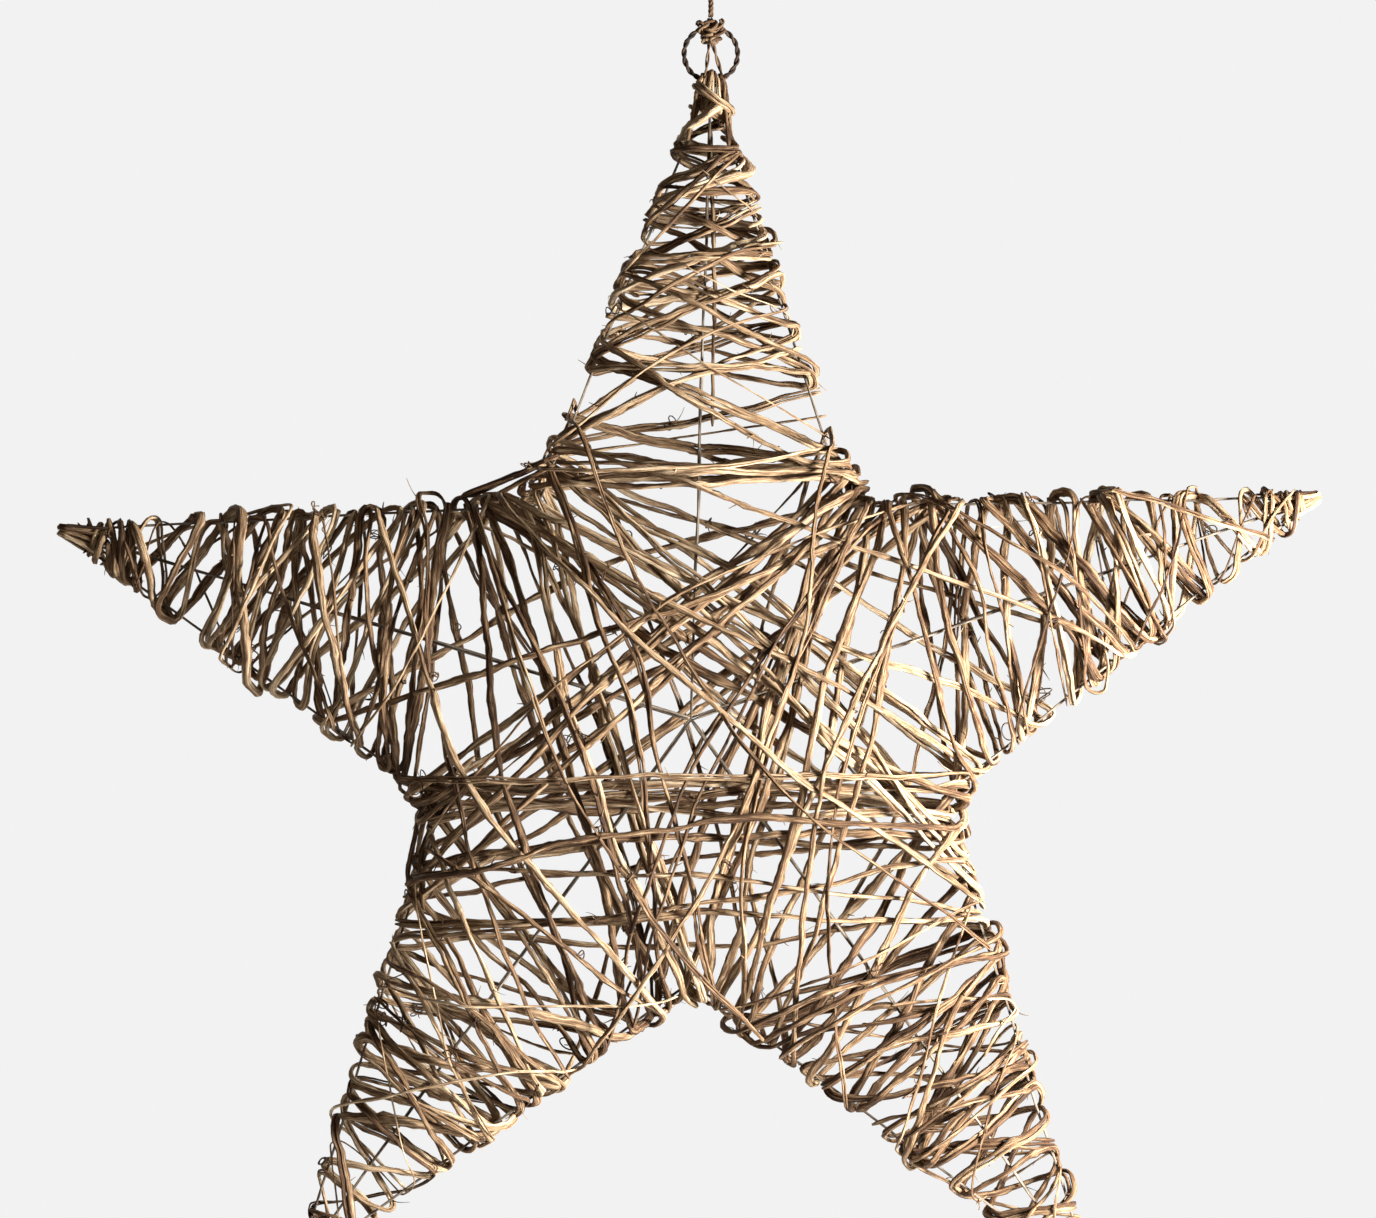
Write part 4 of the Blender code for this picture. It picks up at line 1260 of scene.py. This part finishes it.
def hooked_on_ring(skin):
    """Strands that come up the front of the top arm, hook over the ring and go down behind."""
    shortest, outer, varied = RING_STRAND_LENGTHS
    for share in np.linspace(-1, 1, RING_STRANDS):
        radius = TIP_STRAND_RADIUS * skin.dice.uniform(*RING_STRAND_SIZES)
        length = (shortest + outer * share ** 4 + skin.dice.uniform(0, varied)) * MM
        share += skin.dice.uniform(-RING_STRAND_RANGE, RING_STRAND_RANGE)
        beside = HOOK_HALF_WIDTH * share
        top = RING_Z - math.sqrt(RING_RADIUS ** 2 - (HOOK_TOP * beside) ** 2)
        top += RING_SECTION + radius + HOOK_ARCH * (1 - share ** 2)
        off = RING_SECTION + radius + HOOK_OFF
        points = []
        for inward in (length, HOOKED_KNEE):
            spread = HOOK_HALF_WIDTH * (1 - inward / HOOK_FADE)
            across = share * (arm_half_width(0, inward) * HOOK_WIDTH + spread)
            depth = arm_half_depth(0, inward) + HOOK_SPARE
            points.append(arm_place(0, inward, across, depth))
        over = [(HANG_X - narrow * beside, deep * off, top + rise * MM)
                for narrow, deep, rise in HOOK_ROUTE]
        behind = [(x, -y, z) for x, y, z in reversed(points)]
        skin.vine(points + over + behind, radius, stems=1, sides=6, step=HOOK_STEP, shreds=False)


def wrap(skin, arm, lengths, turns, stems):
    """Turns of vine wound round an arm near its tip."""
    first, last, radius, spare, slant = [length * MM for length in lengths]
    start, tone = skin.dice.uniform(0, math.tau), skin.dice.uniform(*WRAP_TONES)
    steps = int(WRAP_STEPS * abs(turns))
    points = []
    for k in range(steps + 1):
        angle = start + math.tau * turns * k / steps
        drift = skin.dice.uniform(-WRAP_DRIFT, WRAP_DRIFT) * MM
        inward = first + (last - first) * k / steps + drift + slant * math.cos(angle)
        across = (arm_half_width(arm, inward) + spare) * math.cos(angle)
        forward = (arm_half_depth(arm, inward) + spare + WRAP_RISE) * math.sin(angle)
        points.append(arm_place(arm, inward, across, forward))
    skin.vine(points, radius, taper=WRAP_TAPER, stems=stems, tone=tone)


def make_tips():
    """What is wound round the five tips."""
    for arm, arm_name in enumerate(ARM_NAMES):
        skin = Skin(TIP_SEED + arm)
        if arm_name == "top":
            hooked_on_ring(skin)
        else:
            hooked_strands(skin, arm)
        for first, last, turns, radius, spare, slant, stems in TIP_WRAPS[arm_name]:
            wrap(skin, arm, (first, last, radius, spare, slant), turns, stems)
        skin.piece(f"tip_strands_{arm_name}")


make_tips()

# Loose ends that the photo shows, in millimetres from the star's centre: radius, then the path.
LOOSE_STEP = 2.5 * MM
LOOSE_VINES = (
    ("loose_loop_right_arm", 0.95,
     ((184, -12, 48), (189, -9, 28), (190, -6, 15), (195, -4, 11.5), (201, -5, 13),
      (202.5, -8, 26), (197, -12, 44))),
    ("loose_stub_top_arm", 1.1, ((8, -20, 221), (24, -16, 226), (35, -12, 229), (45, -10, 230))),
    ("straight_vine_top_arm", 1.25,
     ((10.2, 3, 286), (10.6, 5, 240), (11.2, 7, 190), (10.8, 8, 142))),
    ("loose_bent_vine_right_leg", 0.8,
     ((96, -27, -137), (121, -22, -135), (153, -15, -135.5), (156.5, -13, -139), (148, -16, -149),
      (141, -20, -162))),
    ("loose_vines_left_waist", 1.5,
     ((-112, -18, -22), (-125, -8, -36), (-132, -3, -50), (-135.5, -4, -66), (-137, -8, -82),
      (-129, -16, -98))),
    ("loose_vines_left_waist", 1.3,
     ((-106, 16, -18), (-122, 6, -37), (-130, 1, -52), (-132.5, 2, -68), (-139, -2, -88),
      (-141, 10, -106))),
    ("loose_vines_left_waist", 1.7,
     ((-98, -20, -26), (-118, -12, -40), (-127.5, -7, -56), (-130, -8, -74), (-128, -14, -92))),
)


def make_loose_vines():
    """The few loose ends of vine that stand out in the photo."""
    skins = {}
    for name, radius, path in LOOSE_VINES:
        skin = skins.setdefault(name, Skin(LOOSE_SEED + len(skins)))
        skin.vine(np.array(path, float) * MM, radius * MM, stems=1, step=LOOSE_STEP)
    for name, skin in skins.items():
        skin.piece(name)


make_loose_vines()

# The floor, well below the star, which glows a little for the camera alone.
FLOOR_RADIUS = 3.0
FLOOR_LEVEL = -0.95
FLOOR_STEPS = 96
FLOOR_COLOUR = (0.82, 0.82, 0.82, 1)
FLOOR_GLOW = 0.5


def make_floor():
    """A plain pale floor."""
    mesh = bpy.data.meshes.new("floor")
    rim = circle((0, 0, 0), FLOOR_RADIUS, FLOOR_STEPS, 0)[:-1, [0, 2, 1]] + (0, 0, FLOOR_LEVEL)
    mesh.from_pydata(rim.tolist(), [], [list(range(FLOOR_STEPS))])
    floor = bpy.data.objects.new("floor", mesh)
    bpy.context.collection.objects.link(floor)
    material = bpy.data.materials.new("pale_floor")
    make = Nodes(material)
    glow = make.math("MULTIPLY", make.make("LightPath", output="Is Camera Ray"), FLOOR_GLOW)
    make.shade(Base_Color=FLOOR_COLOUR, Roughness=0.9, Emission_Color=(1, 1, 1, 1),
               Emission_Strength=glow)
    mesh.materials.append(material)


# Soft square lights: name, place, what they look at, size, power, colour.
LIGHTS = (
    ("key", (0.66, -0.40, -0.46), (0.48, 0.0, -0.48), 0.20, 44.5, (1.0, 0.985, 0.95)),
    ("back", (-0.7, 1.3, 0.1), (0.0, 0.0, -0.39), 0.8, 8.0, (1.0, 0.95, 0.88)),
)

# The surroundings: what the camera sees, and what lights the star.
SEEN_COLOUR = (0.888, 0.888, 0.888, 1)
CAST_COLOUR = (1.0, 0.86, 0.72, 1)
CAST_STRENGTH = 0.18


def make_lights():
    """The soft square lights, each turned to what it looks at."""
    for name, place, target, size, power, colour in LIGHTS:
        data = bpy.data.lights.new(name, "AREA")
        data.size, data.energy, data.color = size, power, colour
        item = bpy.data.objects.new(name, data)
        bpy.context.collection.objects.link(item)
        item.location = place
        aim = Vector([t - p for t, p in zip(target, place)])
        item.rotation_euler = aim.to_track_quat("-Z", "Y").to_euler()


def make_surroundings():
    """A pale studio: the camera sees it nearly white, and it lights the star more softly."""
    world = bpy.data.worlds.new("studio")
    bpy.context.scene.world = world
    make = Nodes(world)
    make.tree.nodes.clear()
    seen = make.make("Background", {"Color": SEEN_COLOUR})
    cast = make.make("Background", {"Color": CAST_COLOUR, "Strength": CAST_STRENGTH})
    camera_ray = make.make("LightPath", output="Is Camera Ray")
    mixed = make.make("MixShader", {0: camera_ray, 1: cast, 2: seen})
    make.put(make.tree.nodes.new("ShaderNodeOutputWorld").inputs["Surface"], mixed)
    bpy.context.scene.view_settings.view_transform = "Standard"


make_floor()
make_lights()
make_surroundings()
